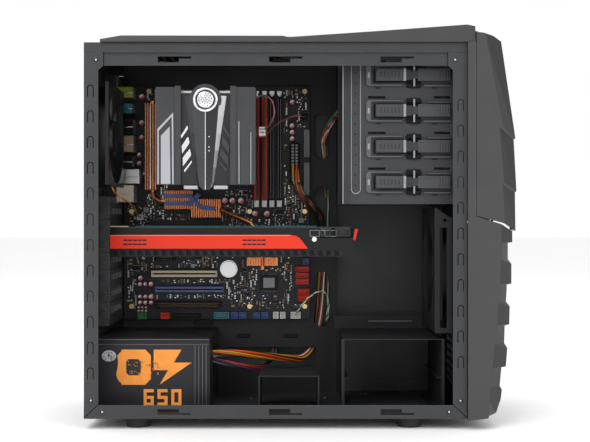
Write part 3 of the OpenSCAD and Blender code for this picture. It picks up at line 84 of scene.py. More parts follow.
class Shape:
    """Gathers boxes, prisms, rods and turned parts, in millimetres, into one mesh."""

    def __init__(self):
        self.bm = bmesh.new()

    def face(self, points, mat=0):
        verts = [self.bm.verts.new(p) for p in points]
        made = self.bm.faces.new(verts)
        made.material_index = mat
        return made

    def grid(self, rows, mat=0, closed=False):
        """Skin through rows of points of equal length."""
        verts = [[self.bm.verts.new(p) for p in row] for row in rows]
        wide = len(rows[0])
        for i in range(len(rows) - 1):
            for j in range(wide if closed else wide - 1):
                k = (j + 1) % wide
                made = self.bm.faces.new((verts[i][j], verts[i][k], verts[i + 1][k],
                                          verts[i + 1][j]))
                made.material_index = mat
        return verts

    def capped(self, rings, mat=0):
        """Closed skin through rings of points, with a flat face at each end."""
        verts = self.grid(rings, mat, closed=True)
        for ring in (verts[0], verts[-1]):
            self.bm.faces.new(ring).material_index = mat

    def prism(self, outline, low, high, axis="z", mat=0):
        """Outline pushed along an axis; its two numbers are the other two axes in order."""
        def at(p, h):
            return {"x": (h, p[0], p[1]), "y": (p[0], h, p[1]), "z": (p[0], p[1], h)}[axis]
        self.capped([[at(p, low) for p in outline], [at(p, high) for p in outline]], mat)

    def box(self, low, high, mat=0):
        outline = [(low[0], low[1]), (high[0], low[1]), (high[0], high[1]), (low[0], high[1])]
        self.prism(outline, low[2], high[2], "z", mat)

    def turned(self, centre, axis, profile, sides=24, mat=0):
        """Profile of (radius, height) turned about an axis through centre."""
        turn = {"x": Matrix.Rotation(math.pi / 2, 3, "Y"),
                "y": Matrix.Rotation(-math.pi / 2, 3, "X"),
                "-y": Matrix.Rotation(math.pi / 2, 3, "X"), "z": Matrix.Identity(3)}[axis]
        centre = Vector(centre)
        angles = [2 * math.pi * k / sides for k in range(sides)]
        self.capped([[centre + turn @ Vector((radius * math.cos(a), radius * math.sin(a), height))
                      for a in angles] for radius, height in profile], mat)

    def rod(self, start, end, radius, sides=12, mat=0):
        start, end = Vector(start), Vector(end)
        along = (end - start).normalized()
        side = along.orthogonal().normalized()
        up = along.cross(side)
        angles = [2 * math.pi * k / sides for k in range(sides)]
        self.capped([[p + (side * math.cos(a) + up * math.sin(a)) * radius for a in angles]
                     for p in (start, end)], mat)

    def piece(self, name, materials, body="chassis", bevel=0.0, smooth=35):
        bmesh.ops.recalc_face_normals(self.bm, faces=self.bm.faces)
        mesh = bpy.data.meshes.new(name)
        self.bm.to_mesh(mesh)
        self.bm.free()
        mesh.transform(Matrix.Scale(MM, 4))
        for polygon in mesh.polygons:
            polygon.use_smooth = True
        mesh.set_sharp_from_angle(angle=math.radians(smooth))
        made = bpy.data.objects.new(name, mesh)
        bpy.context.scene.collection.objects.link(made)
        for material in materials:
            mesh.materials.append(material)
        if bevel:
            rounding = made.modifiers.new("rounding", "BEVEL")
            rounding.width = bevel * MM
            rounding.segments = 2
            rounding.limit_method = "ANGLE"
            rounding.angle_limit = math.radians(40)
        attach(made, body)
        return made


def smooth_path(points, steps=6):
    """Catmull-Rom curve through given points, in millimetres."""
    points = [Vector(p) for p in points]
    out = []
    for i in range(len(points) - 1):
        a = points[max(i - 1, 0)]
        b, c = points[i], points[i + 1]
        d = points[min(i + 2, len(points) - 1)]
        for k in range(steps):
            t = k / steps
            out.append(0.5 * (2 * b + (c - a) * t + (2 * a - 5 * b + 4 * c - d) * t * t
                              + (3 * b - a - 3 * c + d) * t ** 3))
    out.append(points[-1])
    return out


def path_frames(path):
    """Two steady directions across a path at each of its points."""
    frames = []
    side = None
    for i, p in enumerate(path):
        along = (path[min(i + 1, len(path) - 1)] - path[max(i - 1, 0)]).normalized()
        if side is None:
            side = along.orthogonal().normalized()
        side = (side - along * side.dot(along)).normalized()
        frames.append((side, along.cross(side)))
    return frames


def wires(name, strands, materials):
    """A curve object of round strands: each is (points, radius, material index)."""
    data = bpy.data.curves.new(name, "CURVE")
    data.dimensions = "3D"
    data.bevel_depth = MM
    data.bevel_resolution = 2
    data.use_fill_caps = True
    for material in materials:
        data.materials.append(material)
    for points, radius, index in strands:
        line = data.splines.new("POLY")
        line.points.add(len(points) - 1)
        for spot, p in zip(line.points, points):
            spot.co = (*(Vector(p) * MM), 1.0)
            spot.radius = radius
        line.material_index = index
        line.use_smooth = True
    made = bpy.data.objects.new(name, data)
    bpy.context.scene.collection.objects.link(made)
    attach(made, "chassis")
    return made


def strands_along(route, spots, radius, turns=0.0):
    """Strands that follow a route side by side. spots are (radius, angle, material)."""
    path = smooth_path(route)
    frames = path_frames(path)
    out = []
    for reach, angle, index in spots:
        line = []
        for i, (p, (side, up)) in enumerate(zip(path, frames)):
            a = math.radians(angle) + 2 * math.pi * turns * i / (len(path) - 1)
            line.append(p + side * reach * math.cos(a) + up * reach * math.sin(a))
        out.append((line, radius, index))
    return out


# ---------------- materials

class Nodes:
    """Short names for building a material's node tree."""

    def __init__(self, name):
        self.material = bpy.data.materials.new(name)
        self.material.use_nodes = True
        self.tree = self.material.node_tree
        self.shader = self.tree.nodes["Principled BSDF"]

    def add(self, kind, **values):
        node = self.tree.nodes.new(kind)
        for key, value in values.items():
            if key in node.inputs:
                node.inputs[key].default_value = value
            else:
                setattr(node, key, value)
        return node

    def link(self, a, b):
        self.tree.links.new(a, b)

    def noise(self, scale, detail=3.0, rough=0.5, stretch=None):
        place = self.add("ShaderNodeTexCoord").outputs["Object"]
        if stretch:
            mapping = self.add("ShaderNodeMapping")
            mapping.inputs["Scale"].default_value = stretch
            self.link(place, mapping.inputs["Vector"])
            place = mapping.outputs["Vector"]
        node = self.add("ShaderNodeTexNoise", Scale=scale, Detail=detail, Roughness=rough)
        self.link(place, node.inputs["Vector"])
        return node.outputs["Fac"]

    def remap(self, value, low, high, to_low, to_high):
        node = self.add("ShaderNodeMapRange")
        for key, v in (("From Min", low), ("From Max", high), ("To Min", to_low),
                       ("To Max", to_high)):
            node.inputs[key].default_value = v
        self.link(value, node.inputs["Value"])
        return node.outputs["Result"]

    def mix(self, factor, a, b):
        node = self.add("ShaderNodeMix", data_type="RGBA")
        self.link(factor, node.inputs["Factor"])
        for key, value in (("A", a), ("B", b)):
            socket = [s for s in node.inputs if s.name == key and s.type == "RGBA"][0]
            if hasattr(value, "links"):
                self.link(value, socket)
            else:
                socket.default_value = (*value, 1.0)
        return [s for s in node.outputs if s.type == "RGBA"][0]


def shade(colour, amount):
    return tuple(min(1.0, c * amount) for c in colour)


def surface(name, colour, rough, metal=0.0, grain=2200.0, bump=0.06, vary=0.16, coat=0.0,
            edge=0.0006, wear_and_edge_highlight=0.0, wear_and_edge_highlight_colour=None, stretch=None, specular=0.5, body_scale=28.0,
            paint=None):
    """Moulded, painted or bare surface: grain, slow colour change, soft edges, and a lighter colour on
    edges that is partly wear and partly painted highlight.
    """
    n = Nodes(name)
    slow = n.noise(body_scale, 4.0, 0.6)
    base = n.mix(slow, shade(colour, 1 - vary), shade(colour, 1 + vary))
    if paint:
        base = paint(n, base)
    fine = n.noise(grain, 2.0, 0.6, stretch)
    bumps = n.add("ShaderNodeBump", Strength=bump, Distance=0.0004)
    n.link(fine, bumps.inputs["Height"])
    if edge:
        soft = n.add("ShaderNodeBevel", samples=4)
        soft.inputs["Radius"].default_value = edge
        n.link(soft.outputs["Normal"], bumps.inputs["Normal"])
        # Lighter colour on rounded edges, broken up by noise: partly wear, partly painted highlight where
        # sheet and moulded edges catch the light.
        if wear_and_edge_highlight:
            flat = n.add("ShaderNodeNewGeometry")
            dot = n.add("ShaderNodeVectorMath", operation="DOT_PRODUCT")
            n.link(soft.outputs["Normal"], dot.inputs[0])
            n.link(flat.outputs["Normal"], dot.inputs[1])
            broken = n.noise(420.0, 4.0, 0.7)
            limit = n.remap(broken, 0.35, 0.7, 0.0, 1.0)
            amount = n.remap(dot.outputs["Value"], 0.96, 0.80, 0.0, wear_and_edge_highlight)
            both = n.add("ShaderNodeMath", operation="MULTIPLY")
            n.link(limit, both.inputs[0])
            n.link(amount, both.inputs[1])
            base = n.mix(both.outputs["Value"], base, wear_and_edge_highlight_colour or shade(colour, 4.0))
    n.link(bumps.outputs["Normal"], n.shader.inputs["Normal"])
    n.link(base, n.shader.inputs["Base Color"])
    spread = 0.12 if rough > 0.3 else 0.06
    n.link(n.remap(slow, 0.3, 0.7, rough - spread / 2, rough + spread / 2),
           n.shader.inputs["Roughness"])
    n.shader.inputs["Metallic"].default_value = metal
    n.shader.inputs["Coat Weight"].default_value = coat
    n.shader.inputs["Specular IOR Level"].default_value = specular
    return n.material


def banded(name, axis, bands, rough, **looks):
    """Plastic whose colour changes at given heights along an axis: (up to, colour)."""
    def paint(n, base):
        place = n.add("ShaderNodeTexCoord").outputs["Object"]
        parts = n.add("ShaderNodeSeparateXYZ")
        n.link(place, parts.inputs[0])
        along = parts.outputs["XYZ".index(axis)]
        tone = base
        for limit, colour in bands:
            step = n.add("ShaderNodeMath", operation="LESS_THAN")
            step.inputs[1].default_value = limit * MM
            n.link(along, step.inputs[0])
            tone = n.mix(step.outputs["Value"], tone, colour)
        return tone
    return surface(name, looks.pop("colour"), rough, paint=paint, **looks)


def circuit(name):
    """Near-black solder mask with faint tracks and a scatter of pads."""
    def paint(n, base):
        place = n.add("ShaderNodeTexCoord").outputs["Object"]
        turn = n.add("ShaderNodeMapping")
        turn.inputs["Rotation"].default_value = (math.radians(90), 0, 0)
        n.link(place, turn.inputs["Vector"])
        tracks = n.add("ShaderNodeTexBrick", Scale=70.0)
        tracks.inputs["Color1"].default_value = (0, 0, 0, 1)
        tracks.inputs["Color2"].default_value = (0.05, 0.05, 0.05, 1)
        tracks.inputs["Mortar"].default_value = (1, 1, 1, 1)
        tracks.inputs["Mortar Size"].default_value = 0.02
        tracks.inputs["Brick Width"].default_value = 0.7
        tracks.inputs["Row Height"].default_value = 0.16
        n.link(turn.outputs["Vector"], tracks.inputs["Vector"])
        tone = n.mix(tracks.outputs["Color"], base, (0.040, 0.038, 0.046))
        pads = n.add("ShaderNodeTexVoronoi", Scale=240.0)
        n.link(place, pads.inputs["Vector"])
        dots = n.remap(pads.outputs["Distance"], 0.10, 0.13, 0.5, 0.0)
        return n.mix(dots, tone, (0.16, 0.15, 0.12))
    return surface(name, (0.007, 0.007, 0.009), 0.36, paint=paint, bump=0.05,
                   specular=0.2)


def painted_shade_by_facing(front, up):
    """Painted shade: darker colour on faces that look forward or up, as far as given."""
    def paint(n, base):
        parts = n.add("ShaderNodeSeparateXYZ")
        n.link(n.add("ShaderNodeTexCoord").outputs["Normal"], parts.inputs[0])
        dark = n.mix(n.remap(parts.outputs["X"], 0.45, 0.62, 0.0, front), base,
                     (0.006, 0.006, 0.007))
        return n.mix(n.remap(parts.outputs["Z"], 0.10, 0.45, 0.0, up), dark,
                     (0.012, 0.012, 0.013))
    return paint


CHASSIS = surface("chassis_paint", (0.034, 0.035, 0.037), 0.42, bump=0.10, wear_and_edge_highlight=0.9,
                  wear_and_edge_highlight_colour=(0.16, 0.16, 0.17), specular=0.35, edge=0.0011)
# Darker copy of the chassis paint: painted shade on the tray and brackets inside the case.
SHADED_INTERIOR_PAINT = surface("interior_painted_shade", (0.016, 0.016, 0.018), 0.5, bump=0.10, wear_and_edge_highlight=0.7,
                wear_and_edge_highlight_colour=(0.10, 0.10, 0.11), specular=0.25, edge=0.0009)
CAGE = surface("cage_paint", (0.040, 0.041, 0.044), 0.42, bump=0.08, wear_and_edge_highlight=0.8,
               wear_and_edge_highlight_colour=(0.22, 0.22, 0.23), specular=0.3)
# Bezel plastic with painted shade on its forward and upward faces.
BEZEL = surface("bezel_plastic", (0.042, 0.042, 0.044), 0.36, grain=3000.0, bump=0.05, vary=0.07,
                edge=0.0009, wear_and_edge_highlight=0.25, wear_and_edge_highlight_colour=(0.10, 0.10, 0.105), specular=0.4,
                paint=painted_shade_by_facing(0.85, 0.75))
DARK = surface("dark_plastic", (0.009, 0.009, 0.010), 0.36, bump=0.05, specular=0.3)
LOCK = surface("lock_plastic", (0.050, 0.051, 0.054), 0.42, bump=0.05, wear_and_edge_highlight=0.45,
               wear_and_edge_highlight_colour=(0.26, 0.26, 0.27), specular=0.35)
LOCK_BASE = surface("lock_base_plastic", (0.026, 0.027, 0.029), 0.4, bump=0.05, wear_and_edge_highlight=0.6,
                    wear_and_edge_highlight_colour=(0.24, 0.24, 0.25), specular=0.35)
RUBBER = surface("foot_rubber", (0.014, 0.014, 0.015), 0.75, grain=900.0, bump=0.25)
ZINC = surface("zinc_plate", (0.62, 0.62, 0.64), 0.28, metal=1.0, vary=0.12, grain=1500.0)
# Chrome: the badge ring and disc, and painted highlight on the crest of the centre ridge and the left
# wing's louvres.
CHROME_AND_HIGHLIGHT = surface("chrome_trim_and_painted_highlight", (0.82, 0.82, 0.84), 0.12, metal=1.0, vary=0.05)
BRASS = surface("brass", (0.62, 0.46, 0.20), 0.3, metal=1.0)
COPPER = surface("copper_fins", (0.72, 0.27, 0.11), 0.27, metal=0.9, vary=0.25, body_scale=60.0)
COPPER_BRIGHT = surface("copper_pipe", (0.85, 0.42, 0.22), 0.18, metal=1.0, vary=0.1)
ALLOY = surface("bare_alloy", (0.60, 0.60, 0.62), 0.32, metal=1.0, stretch=(1, 1, 30))
BLACK_ALLOY = surface("black_alloy", (0.05, 0.05, 0.055), 0.3, metal=0.7)
CIRCUIT = circuit("circuit_board")
CARD_PCB = surface("card_board", (0.012, 0.013, 0.015), 0.35, coat=0.2)
SHROUD = surface("shroud_paint", (0.042, 0.043, 0.047), 0.33, metal=0.3, grain=2600.0, bump=0.05,
                 wear_and_edge_highlight=0.6, wear_and_edge_highlight_colour=(0.5, 0.5, 0.51))
# Darker copy of the shroud paint: painted shade on the recessed middle plate and the right facet of the
# centre ridge; also the dark rim and dots of the badge.
SHROUD_DARK_AND_SHADE = surface("shroud_dark_and_painted_shade", (0.018, 0.018, 0.020), 0.3, metal=0.3, bump=0.05)
# Pale satin metal: on the lower lips, and as painted highlight on the left wing's rims, two thin lines on
# the right wing and the right outer facets of the centre ridge.
SHROUD_SATIN_AND_HIGHLIGHT = surface("shroud_satin_and_painted_highlight", (0.42, 0.42, 0.44), 0.38, metal=0.7, vary=0.05)
SUPPLY = surface("supply_paint", (0.015, 0.015, 0.018), 0.42, bump=0.12, specular=0.3)
GLOSS = surface("gloss_black", (0.012, 0.012, 0.013), 0.22, bump=0.02, vary=0.05, specular=0.2,
                wear_and_edge_highlight=0.4, wear_and_edge_highlight_colour=(0.16, 0.16, 0.17))
RED = surface("red_plastic", (0.72, 0.035, 0.012), 0.32, coat=0.1, vary=0.06, specular=0.2)
ORANGE = surface("orange_plastic", (0.80, 0.065, 0.012), 0.35, vary=0.10, specular=0.25)
WHITE = surface("white_plastic", (0.78, 0.77, 0.74), 0.4, vary=0.05)
CREAM = surface("cream_plastic", (0.60, 0.54, 0.40), 0.4, vary=0.08)
BLUE = surface("blue_plastic", (0.012, 0.070, 0.30), 0.32, vary=0.15)
LIME = surface("lime_plastic", (0.30, 0.34, 0.03), 0.4)
TEAL = surface("teal_plastic", (0.010, 0.20, 0.24), 0.32, vary=0.15)
GREEN = surface("green_plastic", (0.02, 0.22, 0.05), 0.35, vary=0.15)
PINK = surface("pink_mark", (0.72, 0.09, 0.13), 0.35, vary=0.06)
GREY_PLASTIC = surface("grey_connector", (0.24, 0.25, 0.26), 0.4, vary=0.1)
BLACK_PLASTIC = surface("black_connector", (0.005, 0.005, 0.006), 0.35, vary=0.1, specular=0.15)
TAN = surface("ceramic_tan", (0.34, 0.24, 0.14), 0.5, vary=0.2)
SLEEVE = surface("braided_sleeve", (0.020, 0.020, 0.022), 0.6, grain=1300.0, bump=0.6)
SILVER_PRINT = surface("silver_print", (0.45, 0.45, 0.46), 0.4, metal=0.3)
ORANGE_PRINT = surface("orange_print", (0.86, 0.30, 0.06), 0.5, vary=0.25, body_scale=90.0,
                       specular=0.1)

# Pale grey: the lock pins, and painted highlight on the lever's grip end, the cage's folded edges and its
# pressed bead.
PALE_PARTS_AND_HIGHLIGHT = surface("pale_parts_and_painted_highlight", (0.26, 0.26, 0.27), 0.35, metal=0.2, vary=0.1)
LOCK_RIM = surface("lock_rim", (0.075, 0.076, 0.080), 0.4, vary=0.15)
# Lighter red strip along the top edge of the card's red panel: painted highlight.
RED_PAINTED_HIGHLIGHT = surface("red_painted_highlight", (0.95, 0.16, 0.10), 0.25, coat=0.3, vary=0.06)
# Lighter grey metal for the supply's ribs and fold lines: painted highlight.
PAINTED_FOLD_HIGHLIGHT = surface("supply_painted_highlight", (0.10, 0.10, 0.11), 0.35, metal=0.3, vary=0.2)

WIRE_COLOURS = {
    "red": (0.55, 0.012, 0.012), "orange": (0.72, 0.13, 0.012), "yellow": (0.62, 0.44, 0.02),
    "black": (0.012, 0.012, 0.013), "white": (0.72, 0.70, 0.64), "green": (0.03, 0.30, 0.06),
    "blue": (0.02, 0.06, 0.35), "brown": (0.16, 0.06, 0.025), "purple": (0.10, 0.03, 0.12),
    "pink": (0.60, 0.12, 0.16), "grey": (0.14, 0.14, 0.15)}
WIRE_NAMES = list(WIRE_COLOURS)
WIRES = [surface("wire_" + key, WIRE_COLOURS[key], 0.42, grain=800.0, bump=0.08, edge=0.0,
                 vary=0.1) for key in WIRE_NAMES]


def wire(name):
    return WIRE_NAMES.index(name)


# ---------------- camera, light and floor

def area_light(name, place, aim, size, power):
    data = bpy.data.lights.new(name, "AREA")
    data.shape = "RECTANGLE"
    data.size, data.size_y = size
    data.energy = power
    light = bpy.data.objects.new(name, data)
    light.location = place
    light.rotation_euler = (Vector(aim) - Vector(place)).to_track_quat("-Z", "Y").to_euler()
    bpy.context.scene.collection.objects.link(light)


def stage():
    camera_data = bpy.data.cameras.new("camera")
    camera_data.lens = CAMERA_LENS
    camera_data.sensor_width = 36.0
    camera_data.clip_end = 60.0
    camera = bpy.data.objects.new("camera", camera_data)
    camera.location = CAMERA_PLACE
    camera.rotation_euler = (math.radians(90), 0, 0)
    bpy.context.scene.collection.objects.link(camera)
    bpy.context.scene.camera = camera

    floor_mesh = bpy.data.meshes.new("floor")
    half = FLOOR_SIZE / 2
    floor_mesh.from_pydata([(-half, -half, 0), (half, -half, 0), (half, half, 0),
                            (-half, half, 0)], [], [(0, 1, 2, 3)])
    floor = bpy.data.objects.new("floor", floor_mesh)
    bpy.context.scene.collection.objects.link(floor)
    pale = Nodes("floor_white")
    pale.link(pale.mix(pale.noise(2.0), (0.92, 0.92, 0.92), (0.95, 0.95, 0.95)),
              pale.shader.inputs["Base Color"])
    pale.shader.inputs["Roughness"].default_value = 0.7
    floor_mesh.materials.append(pale.material)

    world = bpy.data.worlds.new("studio")
    world.use_nodes = True
    sky = world.node_tree.nodes["Background"]
    sky.inputs["Color"].default_value = (1.0, 1.0, 1.0, 1.0)
    sky.inputs["Strength"].default_value = 1.0
    bpy.context.scene.world = world

    area_light("key", (-1.3, -2.4, 2.2), (0, 0, 0.24), (1.6, 1.2), 30.0)
    area_light("fill", (1.9, -2.0, 1.2), (0, 0, 0.24), (1.2, 1.6), 12.0)
    area_light("top", (0.0, -0.4, 2.4), (0, 0, 0.2), (1.6, 1.6), 20.0)
    bpy.context.scene.view_settings.view_transform = "Standard"


# ---------------- looks of the CAD nodes

def dress(material, *names):
    for name in names:
        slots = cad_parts[name].material_slots
        for slot in slots:
            slot.material = material
        if not slots:
            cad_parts[name].data.materials.append(material)


def dress_cad():
    dress(CHASSIS, "base_pan", "roof_panel", "rear_panel", "front_plate", "side_panel",
          "slot_covers", "card_bracket")
    # Painted shade: the inside parts take the darker copy of the chassis paint.
    dress(SHADED_INTERIOR_PAINT, "board_tray", "drive_cages", "fan_bracket")
    dress(CAGE, "bay_cage")
    dress(BEZEL, "top_cover", "front_bezel", "front_armour", "power_button", "reset_button")
    dress(DARK, "bay_covers", "port_panel", "thumbscrews", "front_fan_frame", "rear_fan_frame",
          "cooler_fan_frame", "psu_fan_frame", "psu_inlet", "psu_switch", "mesh_panels",
          "card_blower", "front_fan_rotor", "rear_fan_rotor", "psu_fan_rotor")
    dress(LOCK, *["bay_lock_lever_%d" % (i + 1) for i in range(4)])
    dress(LOCK_BASE, "bay_lock_bases")
    dress(RUBBER, "feet")
    dress(ZINC, "io_shield", "chassis_rivets", "coin_cell", "padlock_loop", "processor")
    dress(BRASS, "board_standoffs")
    dress(COPPER, "board_heatsinks")
    dress(COPPER_BRIGHT, "cooler_base")
    dress(ALLOY, "cooler_fins")
    dress(CIRCUIT, "motherboard")
    dress(CARD_PCB, "card_board", "memory_modules")
    dress(SHROUD, "cooler_shroud")
    dress(GLOSS, "card_shroud")
    dress(RED, "card_side_panel", "cooler_fan_rotor")
    dress(SUPPLY, "psu_case")
    low = BOARD_Z
    dress(banded("slot_plastic", "Z", [(low + 97, WIRE_COLOURS["black"]),
                                       (low + 66, (0.56, 0.50, 0.36)),
                                       (low + 46, (0.012, 0.07, 0.32)),
                                       (low + 30, WIRE_COLOURS["black"])],
                 0.35, colour=(0.012, 0.012, 0.014)), "expansion_slots")
    dress(banded("memory_plastic", "X", [(BOARD_X + 189.7, (0.60, 0.055, 0.012))],
                 0.4, colour=(0.014, 0.014, 0.015)), "memory_slots")
    dress(banded("socket_plastic", "Z", [(low + 300, (0.16, 0.17, 0.18)),
                                         (low + 75, (0.5, 0.02, 0.02)),
                                         (low + 10, (0.012, 0.07, 0.32))],
                 0.35, colour=(0.16, 0.17, 0.18)), "board_sockets")
    dress(ZINC, "rear_ports")


# ---------------- chassis details

def rivets():
    """Ringed rivet heads in the corners of both side openings."""
    shape = Shape()
    side_spots = [(REAR_X + 14, ROOF_Z - 20), (REAR_X + 8, FOOT_Z + 21), (REAR_X + 21, FOOT_Z + 8),
                  (FRONT_X - 14, ROOF_Z - 20), (FRONT_X - 8, FOOT_Z + 21),
                  (FRONT_X - 21, FOOT_Z + 8)]
    ring = [(0.2, -1.0), (3.6, -0.9), (3.6, 0.1), (3.1, 0.5), (2.5, 0.55), (1.9, 0.0)]
    dome = [(1.25, 0.05), (1.1, 0.35), (0.7, 0.55), (0.2, 0.6)]
    for x, z in side_spots:
        for y, axis in ((NEAR_Y, "-y"), (FAR_Y, "y")):
            shape.turned((x, y, z), axis, ring, 28, 0)
            shape.turned((x, y, z), axis, dome, 20, 1)
    made = shape.piece("rivet_heads", [BLACK_ALLOY, ZINC])
    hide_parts("chassis_rivets")


# ---------------- fans

# How far a rotor stays inside its CAD solid
FAN_MARGIN = 0.5


def fan(node, axis, hub, blades, material, front):
    """Rotor with a capped hub and swept, twisted blades; axis is the CAD spin axis."""
    low, high = span(node)
    size = high - low
    across, along = (size.z, size.x) if axis == "x" else (size.x, size.z)
    tip = across / 2 - FAN_MARGIN
    shape = Shape()
    half = (along - FAN_MARGIN) / 2
    shape.turned((0, 0, 0), "z", [(0.5, -half), (hub - 1.4, -half), (hub, -half + 1.2),
                                  (hub, half - 1.6), (hub - 1.6, half), (0.5, half)], 40)
    for i in range(blades):
        start = 2 * math.pi * i / blades
        rows = []
        for r in [hub - 0.6 + (tip - hub + 0.6) * k / 7 for k in range(8)]:
            t = (r - hub) / (tip - hub)
            pitch = math.radians(52 - 24 * t)
            chord = (2 * math.pi * hub / blades) * (0.95 + 0.85 * t)
            sweep = 0.35 * t * t
            row = []
            for k in range(6):
                u = k / 5 - 0.5
                turn = start + sweep + chord * u * math.cos(pitch) / r
                rise = chord * u * math.sin(pitch) + 1.4 * (0.25 - u * u)
                row.append((r * math.cos(turn), r * math.sin(turn),
                            max(-half + 0.6, min(half - 0.6, rise))))
            rows.append(row)
        shape.grid(rows)
    spin = {"x": Matrix.Rotation(math.radians(90), 4, "Y"), "z": Matrix.Identity(4)}[axis]
    shape.bm.transform(Matrix.Translation((low + high) / 2) @ spin
                       @ Matrix.Scale(front, 4, (0, 0, 1)))
    made = shape.piece(node + "_blades", [material], node, smooth=50)
    thick = made.modifiers.new("thickness", "SOLIDIFY")
    thick.thickness = 1.1 * MM
    thick.offset = 0
    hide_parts(node)


def fans():
    for node, axis, hub, blades, material, front in (
            ("front_fan_rotor", "x", 20, 7, DARK, -1.0), ("rear_fan_rotor", "x", 20, 7, DARK, 1.0),
            ("cooler_fan_rotor", "x", 18, 9, RED, 1.0), ("psu_fan_rotor", "z", 20, 7, DARK, 1.0)):
        fan(node, axis, hub, blades, material, front)


# ---------------- board details

PIN_PITCH = 2.54


def on_board(x, out, z):
    """A place on the board: along it, out from its face, and up it."""
    return (BOARD_X + x, BOARD_Y - out, BOARD_Z + z)


def board_box(shape, x, z, wide, high, tall, mat=0, lift=0.0):
    low = on_board(x, tall, z)
    top = on_board(x + wide, lift, z + high)
    shape.box(low, top, mat)


def capacitors():
    """Cans as (x, z, width, height), each with a two-coloured top."""
    cans = []
    for z in (21.8, 29.5, 46):
        cans += [(22.3, z, 5.8, 8), (29, z, 5.8, 8), (36.6, z, 5.8 if z < 25 else 7, 8)]
    cans += [(22.5, 54, 6.5, 8)]
    for k in range(3):
        cans += [(20 + 4.9 * k, 15.3, 3.6, 5.5), (20 + 4.9 * k, 10.8, 3.6, 5.5),
                 (221, 236 + 8.4 * k, 7, 9)]
    cans += [(x, z, 7, 9) for x, z in ((221, 284), (24.5, 291), (24.5, 257), (24.5, 238))]
    cans += [(28, 190, 5.4, 9)]
    cans += [(21.4, z, 6.5, 9) for z in (204, 215)]
    cans += [(x, z, 8, 10) for x, z in ((133, 155), (143, 155), (154, 155), (172.5, 138),
                                        (188, 138))]
    shape = Shape()
    for x, z, wide, tall in cans:
        r = wide / 2
        shape.turned(on_board(x, 0, z), "-y", [(r - 0.2, 0.0), (r, 0.3), (r, tall - 1.2),
                                               (r - 0.25, tall - 0.5), (r - 0.6, tall - 0.1)],
                     24, 0)
        rim = on_board(x, tall - 0.1, z)
        for start, mat in ((35, 1), (215, 2)):
            half_disc = [(rim[0] + (r - 0.55) * math.cos(a), rim[2] + (r - 0.55) * math.sin(a))
                         for a in (math.radians(start + 15 * k) for k in range(13))]
            shape.prism(half_disc, rim[1] - 0.15, rim[1] + 0.3, "y", mat)
    made = shape.piece("capacitor_cans", [ALLOY, WHITE, PINK])
    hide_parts("capacitors")


def memory():
    """Four memory slots, two of them orange, with a latch at the lower end of each."""
    shape = Shape()
    for k, x in enumerate((174.5, 184.8, 194.6, 204.3)):
        mat = 0 if k < 2 else 1
        for side in (-1, 1):
            inner, outer = 0.8 * side, 3.2 * side
            board_box(shape, x + min(inner, outer), 156, 2.4, 134, 7.5, mat)
            board_box(shape, x + side * 1.6 - 0.3, 158, 0.6, 130, 7.8, 3 if k < 2 else 4)
        board_box(shape, x - 0.8, 156, 1.6, 134, 2.2, 1)
        board_box(shape, x - 3.2, 146.6, 6.4, 8.6, 15, 2)
        board_box(shape, x - 2.2, 147.6, 4.4, 6.4, 15.8, 2)
        cup = [(x + 3.2 * math.cos(a), 297.5 - 6.4 * math.sin(a))
               for a in (math.pi * n / 12 for n in range(13))]
        shape.prism([(BOARD_X + u, BOARD_Z + v) for u, v in cup], BOARD_Y - 15, BOARD_Y, "y", 2)
    made = shape.piece("memory_socket_rows", [ORANGE, BLACK_PLASTIC, WHITE, RED, GREY_PLASTIC],
                       bevel=0.25)
    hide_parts("memory_slots")


def header_shell(shape, x, z, wide, high, tall, mat):
    """Open socket with a thin wall and gold pins inside."""
    wall, pin = 1.0, 0.64
    board_box(shape, x, z, wide, wall, tall, mat)
    board_box(shape, x, z + high - wall, wide, wall, tall, mat)
    board_box(shape, x, z + wall, wall, high - 2 * wall, tall, mat)
    board_box(shape, x + wide - wall, z + wall, wall, high - 2 * wall, tall, mat)
    board_box(shape, x + wall, z + wall, wide - 2 * wall, high - 2 * wall, 2.0, mat)
    columns = max(1, int((wide - 2.5) / PIN_PITCH))
    rows = max(1, int((high - 2.5) / PIN_PITCH))
    for i in range(columns):
        for j in range(rows):
            px = x + wide / 2 + (i - (columns - 1) / 2) * PIN_PITCH
            pz = z + high / 2 + (j - (rows - 1) / 2) * PIN_PITCH
            board_box(shape, px - pin / 2, pz - pin / 2, pin, pin, tall - 1.5, 7)


def sockets():
    """Sockets on the board as (x, z, width, height, depth, material)."""
    shape = Shape()
    looks = [RED, BLUE, TEAL, GREEN, WHITE, GREY_PLASTIC, BLACK_PLASTIC, BRASS]
    drives = [(225.5, 46 + 8.2 * k, 17, 6.6, 9, 0) for k in range(3)]
    drives += [(228.5, z, 15, 7.4, 10, 0) for z in (24, 32.4)]
    bottom = [(x, 1, 20 if x < 120 else 9, 8.5, 9, mat)
              for x, mat in ((118.5, 2), (141, 1), (151.5, 1), (170, 1), (180.5, 1))]
    bottom += [(x, 1, wide, 8.5, 8, 4) for x, wide in ((196, 7), (205, 7), (219, 13))]
    bottom += [(19, 0.5, 11.5, 8, 8, 3), (49, 0.5, 11.5, 8, 8, 0), (65, 2, 36, 5.5, 7, 6)]
    others = [(236.5, 212.5, 6.8, 35, 9, 5), (236.5, 163.5, 6.8, 41, 9, 5), (233, 261, 8, 8, 8, 6),
              (18.5, 130, 7.4, 7, 8, 4), (149.5, 278, 9, 8, 8, 4), (218, 178, 13, 52, 13, 6)]
    for place in drives + [(235, 72, 8, 8, 9, 1)] + bottom + others:
        header_shell(shape, *place)
    made = shape.piece("board_headers", looks, bevel=0.2)
    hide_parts("board_sockets")


